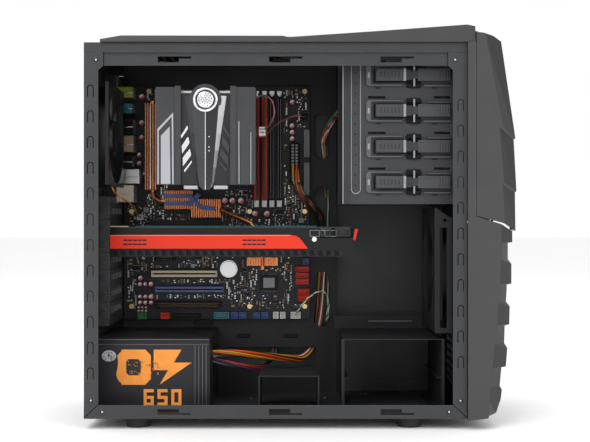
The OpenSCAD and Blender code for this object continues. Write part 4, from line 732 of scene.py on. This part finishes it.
def ports():
    """Stacked rear sockets, their steel shells and coloured plastic."""
    shape = Shape()
    stacks = [(288, 14, 15, 24, 1), (267, 13, 15, 30, 2), (239.5, 21, 17, 40, 3),
              (217.5, 21, 17, 33, 4), (197, 17, 15, 30, 3), (176.5, 18.5, 25, 36, 0),
              (153, 21.5, 17.5, 36, 5)]
    for z, high, deep, out, mat in stacks:
        board_box(shape, -1, z, deep + 1, high, out, mat)
        board_box(shape, 0.5, z + high * 0.42, deep + 0.1, 1.2, out + 0.4, 0)
        board_box(shape, deep - 3, z + 1.5, 3.3, high - 3, out * 0.9, 6)
    made = shape.piece("rear_socket_stacks", [ZINC, LIME, TEAL, BLACK_PLASTIC, TAN, CREAM,
                                              GREY_PLASTIC], bevel=0.35)
    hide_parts("rear_ports")


def slots():
    """Expansion slots as (x, length, middle z, width, material), with a groove of contacts."""
    shape = Shape()
    rows = [(42, 90, 120.65, 7.5, 0), (42, 90, 39.35, 7.5, 1), (37, 86, 59.7, 8.4, 2),
            (42, 86, 19.05, 8.4, 0), (42, 26, 80, 7.5, 0)]
    groove = 0.9
    for x, long, z, wide, mat in rows:
        for side in (-1, 1):
            low_z = z + (groove if side > 0 else -wide / 2)
            board_box(shape, x, low_z, long, wide / 2 - groove, 11, mat)
        board_box(shape, x, z - groove, 2, 2 * groove, 11, mat)
        board_box(shape, x + long - 2, z - groove, 2, 2 * groove, 11, mat)
        board_box(shape, x + 2, z - groove, long - 4, 2 * groove, 3, 0)
        for k in range(int((long - 6) / 2)):
            for side in (-1, 1):
                board_box(shape, x + 3 + k * 2, z + side * 1.25 - 0.3, 0.9, 0.6, 11.15, 3)
    made = shape.piece("card_sockets", [BLACK_PLASTIC, BLUE, CREAM, BRASS], bevel=0.2)
    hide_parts("expansion_slots")


# Areas of the board that already hold something, as (x, z, x, z)
KEEP_CLEAR = [(-2, 150, 28, 306), (29, 166, 47, 284), (54, 140, 130, 168), (88, 128, 128, 160),
              (62, 171, 182, 290), (170, 146, 209, 300), (215, 176, 246, 250), (35, 33, 134, 46),
              (35, 53, 134, 66), (35, 12, 134, 26), (35, 113, 134, 128), (160, 68, 204, 84),
              (222, 20, 246, 82), (0, -2, 246, 12), (125, 53, 151, 79), (126, 150, 160, 160),
              (166, 132, 194, 144), (216, 230, 226, 290), (17, 8, 42, 60), (40, 72, 70, 88),
              (176, 34, 206, 62), (5, 292, 18, 300), (232, 258, 243, 272), (147, 276, 160, 288)]


def small_parts():
    """Chips, coils and rows of tiny parts scattered over the free areas of the board."""
    spread = random.Random(41)
    shape = Shape()
    taken = list(KEEP_CLEAR)

    def clear(x, z, wide, high, gap=0.5):
        for a in taken:
            if x < a[2] + gap and x + wide > a[0] - gap and z < a[3] + gap and z + high > a[1] - gap:
                return False
        return True

    def put(x, z, wide, high, tall, mat, legs=0):
        taken.append((x, z, x + wide, z + high))
        board_box(shape, x, z, wide, high, tall, mat)
        for k in range(legs):
            leg = x + 0.6 + k * (wide - 1.2) / max(1, legs - 1)
            board_box(shape, leg - 0.2, z - 0.9, 0.4, high + 1.8, 0.5, 2)

    put(179, 37, 23, 21, 2.2, 0, 14)
    put(183, 41, 15, 13, 2.6, 3)
    for wide, high, tall, mat, legs, count in ((9, 6, 1.8, 0, 6, 16), (5, 4, 1.5, 0, 4, 40),
                                               (6.5, 6.5, 4.5, 3, 0, 10), (4, 2.4, 1.6, 1, 0, 80),
                                               (2, 1.25, 0.9, 1, 0, 420), (2, 1.25, 0.8, 2, 0, 420),
                                               (1.25, 2, 0.8, 4, 0, 300), (1.0, 1.6, 0.7, 3, 0, 260)):
        for _ in range(count * 3):
            if count <= 0:
                break
            x = spread.uniform(4, 238)
            z = spread.uniform(12, 298)
            line = spread.choice((1, 1, 3, 5)) if wide < 3 else 1
            for k in range(line):
                zz = z + k * (high + 0.7)
                if zz + high < 302 and clear(x, zz, wide, high):
                    put(x, zz, wide, high, tall, mat, legs)
                    count -= 1
    return shape.piece("board_small_parts", [BLACK_PLASTIC, TAN, ZINC, GREY_PLASTIC, WHITE])


def board_details():
    capacitors()
    memory()
    sockets()
    ports()
    slots()
    small_parts()


# ---------------- cooler housing

def cooler():
    """Pressed cover with two wings, side louvres, a tapering centre and a ring badge.

    Outlines are (across from the middle, up from the foot).
    """
    shape = Shape()
    cx = (SHROUD_LOW.x + SHROUD_HIGH.x) / 2
    front = SHROUD_LOW.y + 2
    foot = SHROUD_LOW.z + 5
    tall = SHROUD_HIGH.z - foot
    half = (SHROUD_HIGH.x - SHROUD_LOW.x) / 2

    def plate(points, near, far, mat=0):
        shape.prism([(cx + u, foot + v) for u, v in points], front + near, front + far, "y", mat)

    def both(points, near, far, mats=(0, 0)):
        plate(points, near, far, mats[0])
        plate([(-u, v) for u, v in points], near, far, mats[1])

    both([(-half, 1), (-half + 1, 0), (-35.6, 0), (-35.6, tall - 1.2), (-half + 1, tall - 1.2),
          (-half, tall - 2.2)], 3, 5.5)
    both([(-35.6, 0), (-28.9, 0), (-28.9, tall), (-35.6, tall)], 1.2, 6)
    both([(-half, 0.5), (-half + 1.6, 0.5), (-half + 1.6, tall - 2), (-half, tall - 2)], 5.5, 36)
    rim = [(-56.2, 0.6), (-54.4, 0.6), (-54.4, 63.0), (-39.6, 79.0), (-38.8, 0.6), (-36.8, 0.6),
           (-37.6, 84.4), (-56.2, 65.2)]
    # Only the left wing's rims take the pale satin, and the right wing gets two thin pale lines: painted
    # highlight.
    both(rim, 2.0, 3.1, (2, 0))
    both([(-52.2, 0.8), (-40.8, 0.8), (-41.8, 68.0), (-52.2, 57.0)], 2.3, 3.1, (2, 0))
    plate([(52.6, 0.8), (53.6, 0.8), (53.6, 61), (52.6, 61)], 1.7, 2.2, 2)
    plate([(38.9, 0.8), (39.9, 0.8), (39.6, 74), (38.6, 74)], 1.7, 2.2, 2)
    # Recessed middle plate in the darker copy of the shroud paint: painted shade.
    plate([(-29.4, 0), (29.4, 0), (29.4, tall - 8), (-29.4, tall - 8)], 6.5, 9, 1)
    # Louvres: chrome on the left wing only, plain shroud paint on the right: painted highlight.
    for points in ([(-29.2, 57.6), (-21.1, 69.4), (-20.6, 65.0), (-28.4, 54.0)],
                   [(-28.4, 45.4), (-20.3, 56.4), (-18.8, 48.6), (-27.4, 36.2)],
                   [(-27.0, 31.6), (-18.3, 42.0), (-16.8, 34.4), (-26.6, 21.4)],
                   [(-25.4, 17.0), (-16.4, 28.2), (-16.1, 25.8), (-24.6, 14.4)]):
        both(points, 4.2, 6.5, (3, 0))

    # Centre that widens upwards, with a rounded lower end
    top = 104
    rows = []
    for v in (-6, -4.5, -2, 4, 20, 40, 60, 80, 92, top):
        t = max(0.0, v) / top
        wide = 7.6 + 9.0 * t
        if v < 4:
            wide *= math.sqrt(max(0.02, 1 - ((4 - v) / 10.6) ** 2))
        facet = (1.6 + 6.4 * t) * (1 if v > -4 else 0.4)
        rows.append([(cx + u, front + d, foot + v) for u, d in (
            (-wide - facet, 6.4), (-wide - facet, 5.6), (-wide, 2.2), (-0.55, 0.6), (0.55, 0.6),
            (wide, 2.2), (wide + facet, 5.6), (wide + facet, 6.4))])
    # Facets across the centre, left to right: plain paint, a chrome crest strip as painted highlight, the
    # right facet in the darker copy as painted shade, and the right outer facets in pale satin as painted
    # highlight.
    for i in range(len(rows) - 1):
        for j, mat in enumerate((0, 0, 0, 3, 1, 2, 2)):
            shape.face([rows[i][j], rows[i][j + 1], rows[i + 1][j + 1], rows[i + 1][j]], mat)
    shape.face(rows[0], 0)
    shape.face(rows[-1], 0)

    # Arch and ring badge at the top, with a dotted disc inside
    badge = tall - 16.3
    arch = [(18.6 * math.cos(a), badge + 18.6 * math.sin(a))
            for a in (math.radians(-20 + 220 * k / 30) for k in range(31))]
    plate(arch, 1.6, 8)
    shape.turned((cx, front, foot + badge), "-y", [
        (14.6, -2.4), (14.6, 0.6), (14.2, 1.4), (13.2, 1.9), (12.2, 1.5), (11.6, 0.6),
        (11.3, -0.4)], 48, 3)
    shape.turned((cx, front, foot + badge), "-y", [(11.5, -2.2), (11.5, -0.2), (0.4, -0.1)], 40, 1)
    shape.turned((cx, front, foot + badge), "-y", [
        (9.6, -0.3), (9.6, 0.4), (8.6, 0.9), (0.3, 1.1)], 40, 3)
    for ring, count in ((7.4, 14), (4.6, 9), (1.9, 4)):
        for k in range(count):
            a = 2 * math.pi * (k + ring) / count
            shape.turned((cx + ring * math.cos(a), front - 1.0, foot + badge + ring * math.sin(a)),
                         "-y", [(0.75, -0.3), (0.6, 0.35), (0.1, 0.45)], 8, 1)
    indicators = (56.0, 44.0, 39.6)
    for v in indicators:
        shape.turned((cx + 4.3, front + 1.2, foot + v), "-y", [(0.9, -0.6), (0.9, 0.1), (0.5, 0.4)],
                     12, 4)
    for u in (-25.8, 9.4):
        shape.prism([(cx + u, foot - 5), (cx + u + 16.4, foot - 5), (cx + u + 16.4, foot - 1),
                     (cx + u, foot - 1)], front + 6, front + 26, "y", 2)
    made = shape.piece("cooler_cover", [SHROUD, SHROUD_DARK_AND_SHADE, SHROUD_SATIN_AND_HIGHLIGHT, CHROME_AND_HIGHLIGHT, WHITE],
                       bevel=0.45)
    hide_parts("cooler_shroud")


def heatsink_bars():
    """Blue bars across the chipset fins and the bright crown of the supply-stage fins."""
    shape = Shape()
    for z in (158.6, 149.2):
        board_box(shape, 55, z, 36, 4.6, 23.6, 0, 20)
    for out, arm in ((24.8, [(84, 161), (90, 163), (104, 149), (122, 146), (122, 142), (102, 144)]),
                     (24.2, [(84, 150), (90, 147), (103, 162), (98, 165)])):
        shape.prism([(BOARD_X + x, BOARD_Z + z) for x, z in arm], BOARD_Y - out, BOARD_Y - 20,
                    "y", 0)
    board_box(shape, 37, 170, 2, 108, 27, 1, 24)
    shape.piece("heatsink_bars", [BLUE, ALLOY], bevel=0.4)


# ---------------- graphics card

def card():
    """Red side panel with slanted vents, and the trim, edge lines and sockets around it."""
    low, high = CARD_LOW, CARD_HIGH
    face = low.y
    left = low.x + 0.4
    shape = Shape()

    def bar(points, near, far, mat):
        shape.prism(points, face - near, face - far, "y", mat)

    z0, z1 = high.z - 25.0, high.z - 8.2
    right = left + 228
    bar([(left, z0), (right + 13, z0), (right + 3, z1 - 4), (right - 2, z1 - 1), (right - 8, z1),
         (left, z1)], 2.0, -0.6, 0)
    # Thin lighter strip along the panel's top edge: painted highlight.
    bar([(left, z1 - 1.4), (right - 9, z1 - 1.4), (right - 8, z1), (left, z1)], 2.3, 2.0, 1)
    for x in (left + 16, left + 161):
        for z in (z0 + 9.4, z0 + 4.4):
            for k in range(5):
                bar([(x + k * 5.8, z), (x + k * 5.8 + 5, z), (x + k * 5.8 + 5.6, z + 1.9),
                     (x + k * 5.8 + 0.6, z + 1.9)], 2.15, 1.9, 2)
    made = shape.piece("card_red_panel", [RED, RED_PAINTED_HIGHLIGHT, GLOSS], bevel=0.35)
    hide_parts("card_side_panel")

    trim = Shape()
    for k in range(28):
        x = left + 4 + k * 10
        trim.prism([(x + 5.4, low.z + 1.4), (x + 9.4, low.z + 1.4), (x + 7.4, low.z + 8.2),
                    (x + 3.4, low.z + 8.2)], face - 0.5, face + 3, "y", 0)
    edge = high.z
    trim.box((left + 8, face + 0.5, edge), (low.x + 276, face + 1.6, edge + 0.8), 1)
    trim.box((left + 30, face + 3, edge + 2.0), (low.x + 252, face + 4.2, edge + 2.8), 2)
    trim.box((left + 10, face + 0.2, edge - 3.0), (low.x + 262, face + 0.8, edge - 2.2), 3)
    trim.box((left - 0.3, face, edge + 0.5), (left + 22, face + 2, edge + 2.6), 4)
    rim, high_socket = 0.7, 8
    for k, (start, wide) in enumerate(((243.5, 12), (261.5, 15))):
        x = low.x + start
        z = high.z - 10.4
        for a, b in (((0, 0), (wide, rim)), ((0, high_socket - rim), (wide, high_socket)),
                     ((0, 0), (rim, high_socket)), ((wide - rim, 0), (wide, high_socket))):
            trim.box((x + a[0], face - 0.9, z + a[1]), (x + b[0], face - 0.1, z + b[1]), 5)
        for i in range(3 + k):
            for j in range(2):
                px = x + 1.6 + i * 3.5
                trim.box((px, face - 0.7, z + 1.2 + j * 3.1), (px + 2.2, face - 0.2, z + 3.4 + j * 3.1), 0)
    trim.turned((low.x + 249, face - 0.4, high.z - 13.6), "-y", [(3, -0.4), (3, 0.2), (2, 0.5)], 16, 6)
    trim.prism([(high.x - 6.4, high.z - 14), (high.x - 3.8, high.z - 15), (high.x - 0.4, high.z - 1.5),
                (high.x - 4.0, high.z - 0.6)], face - 0.5, face + 6, "y", 7)
    trim.piece("card_trim", [DARK, ALLOY, TEAL, ALLOY, CREAM, GREY_PLASTIC, WHITE, RED],
               bevel=0.2)


# ---------------- power supply

def digit(shape, segments, x, z, high, y, mat):
    """Blocky figure of upright and level bars that meet edge to edge."""
    wide, thick = high * 0.62, high * 0.19
    mid = (high - thick) / 2
    top_gap, right = mid + thick, wide - thick
    bars = {"a": (0, high - thick, wide, high), "h": (0, mid, wide, top_gap),
            "d": (0, 0, wide, thick), "l": (0, top_gap, thick, high - thick),
            "e": (0, thick, thick, mid), "b": (right, top_gap, wide, high - thick),
            "c": (right, thick, wide, mid), "m": (0, mid, thick, top_gap),
            "r": (right, mid, wide, top_gap)}
    for key in segments:
        x0, z0, x1, z1 = bars[key]
        shape.box((x + x0, y - 0.35, z + z0), (x + x1, y, z + z1), mat)


def supply():
    """Ribbed near wall with painted highlight on every other rib and on the top fold lines, and a plain
    printed emblem with the wattage figure.
    """
    face = PSU_LOW.y
    left, right = PSU_LOW.x, PSU_HIGH.x
    low, high = PSU_LOW.z, PSU_HIGH.z
    ribs = Shape()
    for k in range(8):
        # Every other rib takes the lighter colour: painted highlight.
        x = right - 2.4 - k * 2.2
        ribs.box((x, face - 0.6, low + 2), (x + 1.0, face, high - 7.5), k % 2)
    # Top fold lines in the lighter colour: painted highlight.
    ribs.box((left + 1, face - 0.7, high - 1.0), (right - 0.5, face, high), 1)
    ribs.box((left + 1, face - 0.6, high - 7.0), (right - 0.5, face, high - 6.2), 1)
    for z in (high - 2.6, high - 4.2):
        ribs.box((left + 1, face - 0.3, z), (right - 0.5, face, z + 0.5), 0)
    ribs.piece("supply_ribs", [SUPPLY, PAINTED_FOLD_HIGHLIGHT], bevel=0.15)

    ink = Shape()
    x0, ring_z = left + 49.7, low + 52.6
    spread = random.Random(7)
    corners = [(-20.6, -14), (-14, -20.9), (14, -20.9), (20.6, -14), (20.6, 14), (14, 20.9),
               (-14, 20.9), (-20.6, 14)]
    outer, inner = [], []
    for k in range(8):
        a, b = corners[k], corners[(k + 1) % 8]
        for t in (0, 0.2, 0.4, 0.6, 0.8):
            u, v = a[0] + (b[0] - a[0]) * t, a[1] + (b[1] - a[1]) * t
            torn = spread.uniform(0.88, 1.02) if u < -15 else 1.0
            outer.append((x0 + u * torn, ring_z + v))
            inner.append((x0 + u * 0.42, ring_z + v * 0.46))
    for k in range(len(outer)):
        n = (k + 1) % len(outer)
        ink.prism([outer[k], outer[n], inner[n], inner[k]], face - 0.35, face, "y", 0)
    bolt = [(24, 20.8), (57, 20.8), (48, 5.5), (69, 5.5), (31, -20.8), (41, -3.5), (24, -3.5)]
    ink.prism([(x0 + u, ring_z + v) for u, v in bolt], face - 0.35, face, "y", 0)
    for _ in range(46):
        u, v = spread.uniform(-7, 30), spread.uniform(-9, 9)
        ink.turned((x0 + u, face, ring_z + v), "-y",
                   [(0.5, -0.1), (spread.uniform(0.3, 0.9), 0.35)], 7, 0)
    for k, segments in enumerate(("adhlec", "adhlc", "adlebcmr")):
        digit(ink, segments, x0 + 12 + k * 16.4, low + 7, 19.5, face, 0)
    disc = [(left + 20.6 + 8.6 * math.cos(a), low + 66 + 6.6 * math.sin(a))
            for a in (2 * math.pi * k / 24 for k in range(24))]
    ink.prism(disc, face - 0.3, face, "y", 1)
    for _ in range(36):
        a, r = spread.uniform(0, 2 * math.pi), spread.uniform(0, 0.85)
        ink.turned((left + 20.6 + 8.6 * r * math.cos(a), face - 0.3, low + 66
                    + 6.6 * r * math.sin(a)), "-y", [(0.7, -0.1), (0.5, 0.15)], 6, 2)
    ink.piece("supply_print", [ORANGE_PRINT, SILVER_PRINT, SUPPLY])


# ---------------- drive bays and their locks

BAY_PITCH = 41.9


def lock_lever(number, x, z, face):
    """Rocking lever with a grip plate, ribs, a pale bar of painted highlight at the end of the grip, and
    its end pin.
    """
    lever = Shape()

    def bar(a, b, near, far, mat=0):
        lever.prism([(x + a[0], z + a[1]), (x + b[0], z + a[1]), (x + b[0], z + b[1]),
                     (x + a[0], z + b[1])], face + near, face + far, "y", mat)

    bar((11, -7.2), (43, 7.2), 0, 4)
    bar((12.2, -6.2), (42, 6.2), -0.9, 0)
    for k in range(6):
        bar((16 + k * 4.2, -3.6), (18 + k * 4.2, 3.6), -1.3, -0.9, 2)
    # Pale bar at the end of the grip: painted highlight.
    bar((43.2, -7.2), (46.4, 7.2), -0.7, 4, 1)
    bar((46.4, -6.0), (53, 6.0), 1.2, 4, 2)
    bar((53, -4.6), (60.4, 4.6), 0.2, 4, 2)
    bar((60.4, -7.2), (98, 7.2), 0, 4)
    bar((62, 4.6), (84, 5.4), -0.5, 0)
    for k in range(4):
        bar((84.5 + k * 3.2, -5), (86 + k * 3.2, 5), -0.6, 0)
    lever.turned((x + 89, face + 3.5, z), "y", [(2, 0), (2, 5.1), (1.4, 5.9)], 16, 1)
    made = lever.piece("bay_lock_lever_%d_detail" % number, [LOCK, PALE_PARTS_AND_HIGHLIGHT, LOCK_BASE],
                       body="bay_lock_%d" % number, bevel=0.5)
    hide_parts("bay_lock_lever_%d" % number)


def lock_base(bases, x, z, face):
    """Ridged frame around a lever, with a round boss at each end of its pin."""
    top = CAGE_LOW.y + 2.2
    out = top - 3.6

    def ridge(points, near=out, far=top, mat=0):
        bases.prism([(x + u, z + v) for u, v in points], near, far, "y", mat)

    ridge([(0, -10), (2.8, -12.7), (42.4, -12.7), (42.4, -10.9), (5.6, -10.9), (5.6, 10.9),
           (42.4, 10.9), (42.4, 12.7), (2.8, 12.7), (0, 10)], mat=3)
    ridge([(5.6, -10.9), (42.4, -10.9), (42.4, -9.2), (8.4, -9.2), (8.4, 9.2), (42.4, 9.2),
           (42.4, 10.9), (5.6, 10.9)], out + 1.6)
    ridge([(68.4, -13.2), (99, -13.2), (99, -11.4), (66.6, -11.4)], mat=3)
    ridge([(73, 9.2), (99, 9.2), (99, 10.6), (71, 10.6)], mat=3)
    ridge([(1.6, -3.4), (4.4, -3.4), (4.4, 3.4), (1.6, 3.4)], out - 0.5, out, 1)
    pin, steps = 56, 16
    for side in (-1, 1):
        boss = [(pin + 9.6 * math.cos(a), side * (9.8 + 5.4 * math.sin(a)))
                for a in (math.pi * k / steps for k in range(steps + 1))]
        ridge(boss, out + 0.6, top, 2)
    bases.rod((x + pin, face + 2, z - 13.6), (x + pin, face + 2, z + 13.6), 1.25, 14, 1)


def locks():
    bases = Shape()
    for number in (1, 2, 3, 4):
        low, high = span("bay_lock_lever_%d" % number)
        x, z = low.x - 11, (low.z + high.z) / 2
        face = low.y + 1
        lock_lever(number, x, z, face)
        lock_base(bases, x, z, face)
    made = bases.piece("bay_lock_frames", [LOCK_BASE, PALE_PARTS_AND_HIGHLIGHT, BLACK_PLASTIC, LOCK_RIM],
                       bevel=0.4)
    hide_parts("bay_lock_bases")


def cage_lines():
    """Folded edges and a pressed bead as pale lines of painted highlight, slots and screws of the drive
    cages.
    """
    shape = Shape()
    low, high = CAGE_LOW, CAGE_HIGH
    y = low.y
    # Pale line along the cage's folded edge: painted highlight.
    shape.box((low.x, y - 0.3, low.z), (low.x + 1.3, y + 0.6, high.z - 1), 0)
    for i in range(4):
        z = low.z + 25.5 + BAY_PITCH * i
        for x in (39.0, 105.6):
            shape.box((low.x + x, y + 1.9, z - 15.4), (low.x + x + 6, y + 2.6, z - 14.2), 1)
    top = span("drive_cages")[1].z
    # Pale line along the top edge of the drive cages: painted highlight.
    shape.box((87.6, -16.4, top), (141, -14.2, top + 0.3), 0)
    for x, z in ((84.4, 74), (89.3, 74), (35.7, 39), (-58.5, 36)):
        shape.turned((x, z, BASE_LOW.z + 1.0), "z", [(1.8, -0.4), (1.8, 0.3), (1.2, 0.8)], 14, 2)
    shape.piece("cage_edges", [PALE_PARTS_AND_HIGHLIGHT, BLACK_PLASTIC, ZINC])
    middle, bend, y = 69, 5.4, y + 1.9
    bead = [(middle - bend, y, high.z - 2), (middle - bend, y, 278)]
    bead += [(middle - bend * math.cos(a), y, 276.6 - bend * math.sin(a))
             for a in (math.pi * k / 12 for k in range(13))]
    bead += [(middle + bend, y, 278), (middle + bend, y, high.z - 2)]
    # Pressed bead drawn in the pale colour: painted highlight.
    wires("cage_bead", [(bead, 0.75, 0)], [PALE_PARTS_AND_HIGHLIGHT])


# ---------------- cables

MAIN_ROUTE = [(-112, 11, 72), (-103, 14, 73), (-92, 17, 73), (-76, 23, 72), (-58, 36, 69),
              (-38, 54, 65), (-20, 70, 61), (-6, 82, 59), (6, 92, 58), (16, 98, 66), (24, 99, 84),
              (30, 99, 116), (33, 99, 170), (33, 98, 224), (32, 91, 243), (26, 78, 253),
              (16, 64, 262), (6, 55, 274), (0, 54, 288), (-2, 58, 302), (-2.7, 63, 310)]
DRIVE_ROUTE = [(-112, 1, 67), (-103, -2, 66), (-88, -1, 63), (-74, 4, 59), (-61, 15, 56),
               (-50, 33, 54), (-42, 55, 54), (-36, 76, 56), (-31, 92, 62), (-30, 98, 74),
               (-30, 99, 100)]
FAN_LEAD_ROUTE = [(-221, -58, 279.5), (-220, -51, 276), (-217, -36, 270), (-212, -20, 265),
                  (-208, 0, 262), (-206, 20, 256), (-205, 42, 250), (-205, 60, 246),
                  (-205, 74, 244)]
COOLER_LEAD_ROUTE = [(-50, -40, 388), (-42, -38, 391), (-34, -36, 388), (-29, -33, 380),
                     (-28, -28, 368), (-34, -18, 356), (-43, -9, 350), (-47, 4, 345),
                     (-42, 20, 346), (-32, 36, 356), (-18, 52, 368), (-4, 62, 375), (6, 68, 376),
                     (9.8, 74, 375.5)]
PANEL_LEAD_ROUTE = [(-1, 74, 116), (-1, 62, 119), (4, 50, 128), (14, 45, 140), (26, 46, 148),
                    (36, 54, 147), (41, 66, 134), (41, 78, 116), (39, 90, 107), (40, 98, 115),
                    (41, 100, 136), (41, 99, 200), (41, 99, 270), (38, 98, 326), (35, 89, 346),
                    (39, 83, 358), (47, 81, 372), (58, 82, 388), (72, 84, 402), (92, 85, 412),
                    (140, 86, 419), (180, 87, 420), (197, 87, 420), (207, 83, 424),
                    (214, 70, 432), (218, 50, 436), (221, 34, 439.5), (222, 22, 446.5)]


def ring_of(colours, reach, first=0.0):
    return [(reach, first + 360.0 * k / len(colours), wire(c)) for k, c in enumerate(colours)]


def cables():
    """Twisted bundles along the CAD routes, with the plugs at their ends."""
    outer = ["red", "yellow", "orange", "black", "brown", "white", "red", "yellow", "black",
             "orange"]
    inner = ["black", "red", "purple"]
    strands = strands_along(MAIN_ROUTE, ring_of(outer, 3.6) + ring_of(inner, 1.5, 40), 0.95,
                            turns=1.6)
    drive = strands_along(DRIVE_ROUTE, ring_of(["purple", "black", "grey", "black", "brown",
                                                "red"], 2.5), 0.95, turns=1.2)
    sleeve = strands_along(MAIN_ROUTE[13:19], [(0.0, 0.0, len(WIRES))], 4.75)
    made = wires("power_cable_wires", strands + drive + sleeve, WIRES + [SLEEVE])
    plugs = Shape()
    plug_x = BOARD_X + 219
    low = (plug_x, BOARD_Y - 20, BOARD_Z + 179)
    plugs.box(low, (plug_x + 11, BOARD_Y - 13, BOARD_Z + 229), 0)
    for i in range(12):
        for j in range(2):
            x = plug_x + 2.6 + j * 5.0
            z = low[2] + 2.6 + i * 4.1
            plugs.box((x - 1.4, low[1] - 0.4, z - 1.4), (x + 1.4, low[1] + 1, z + 1.4), 1)
    plugs.box((-40.5, 95, 99), (-19.5, 103, 118), 0)
    body = plugs.piece("power_plugs", [BLACK_PLASTIC, GREY_PLASTIC], bevel=0.5)
    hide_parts("power_cables")
    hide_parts("power_cables")

    leads = strands_along(FAN_LEAD_ROUTE, ring_of(["orange", "black", "yellow"], 0.65), 0.5,
                          turns=5)
    leads += strands_along(COOLER_LEAD_ROUTE, ring_of(["black", "grey", "pink"], 0.6), 0.5,
                           turns=3)
    leads += strands_along(PANEL_LEAD_ROUTE, ring_of(["white", "green"], 0.65), 0.62, turns=34)
    leads += strands_along(PANEL_LEAD_ROUTE[12:22], ring_of(["red", "white", "orange", "black",
                                                             "green", "grey"], 3.0), 0.8,
                           turns=1.6)
    made = wires("signal_wires", leads, WIRES)
    plug = Shape()
    plug.box((-47, -13, 344), (-39, -5, 355), 0)
    plug.box((-46, -13.4, 347), (-40, -12.5, 349), 1)
    plug.box((-46, -13.4, 351), (-40, -12.5, 353), 1)
    inline = plug.piece("inline_plug", [WHITE, GREY_PLASTIC], bevel=0.5)
    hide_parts("signal_leads")
    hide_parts("signal_leads")


# ---------------- the scene

stage()
dress_cad()
rivets()
cables()
fans()
board_details()
heatsink_bars()
cooler()
card()
supply()
locks()
cage_lines()
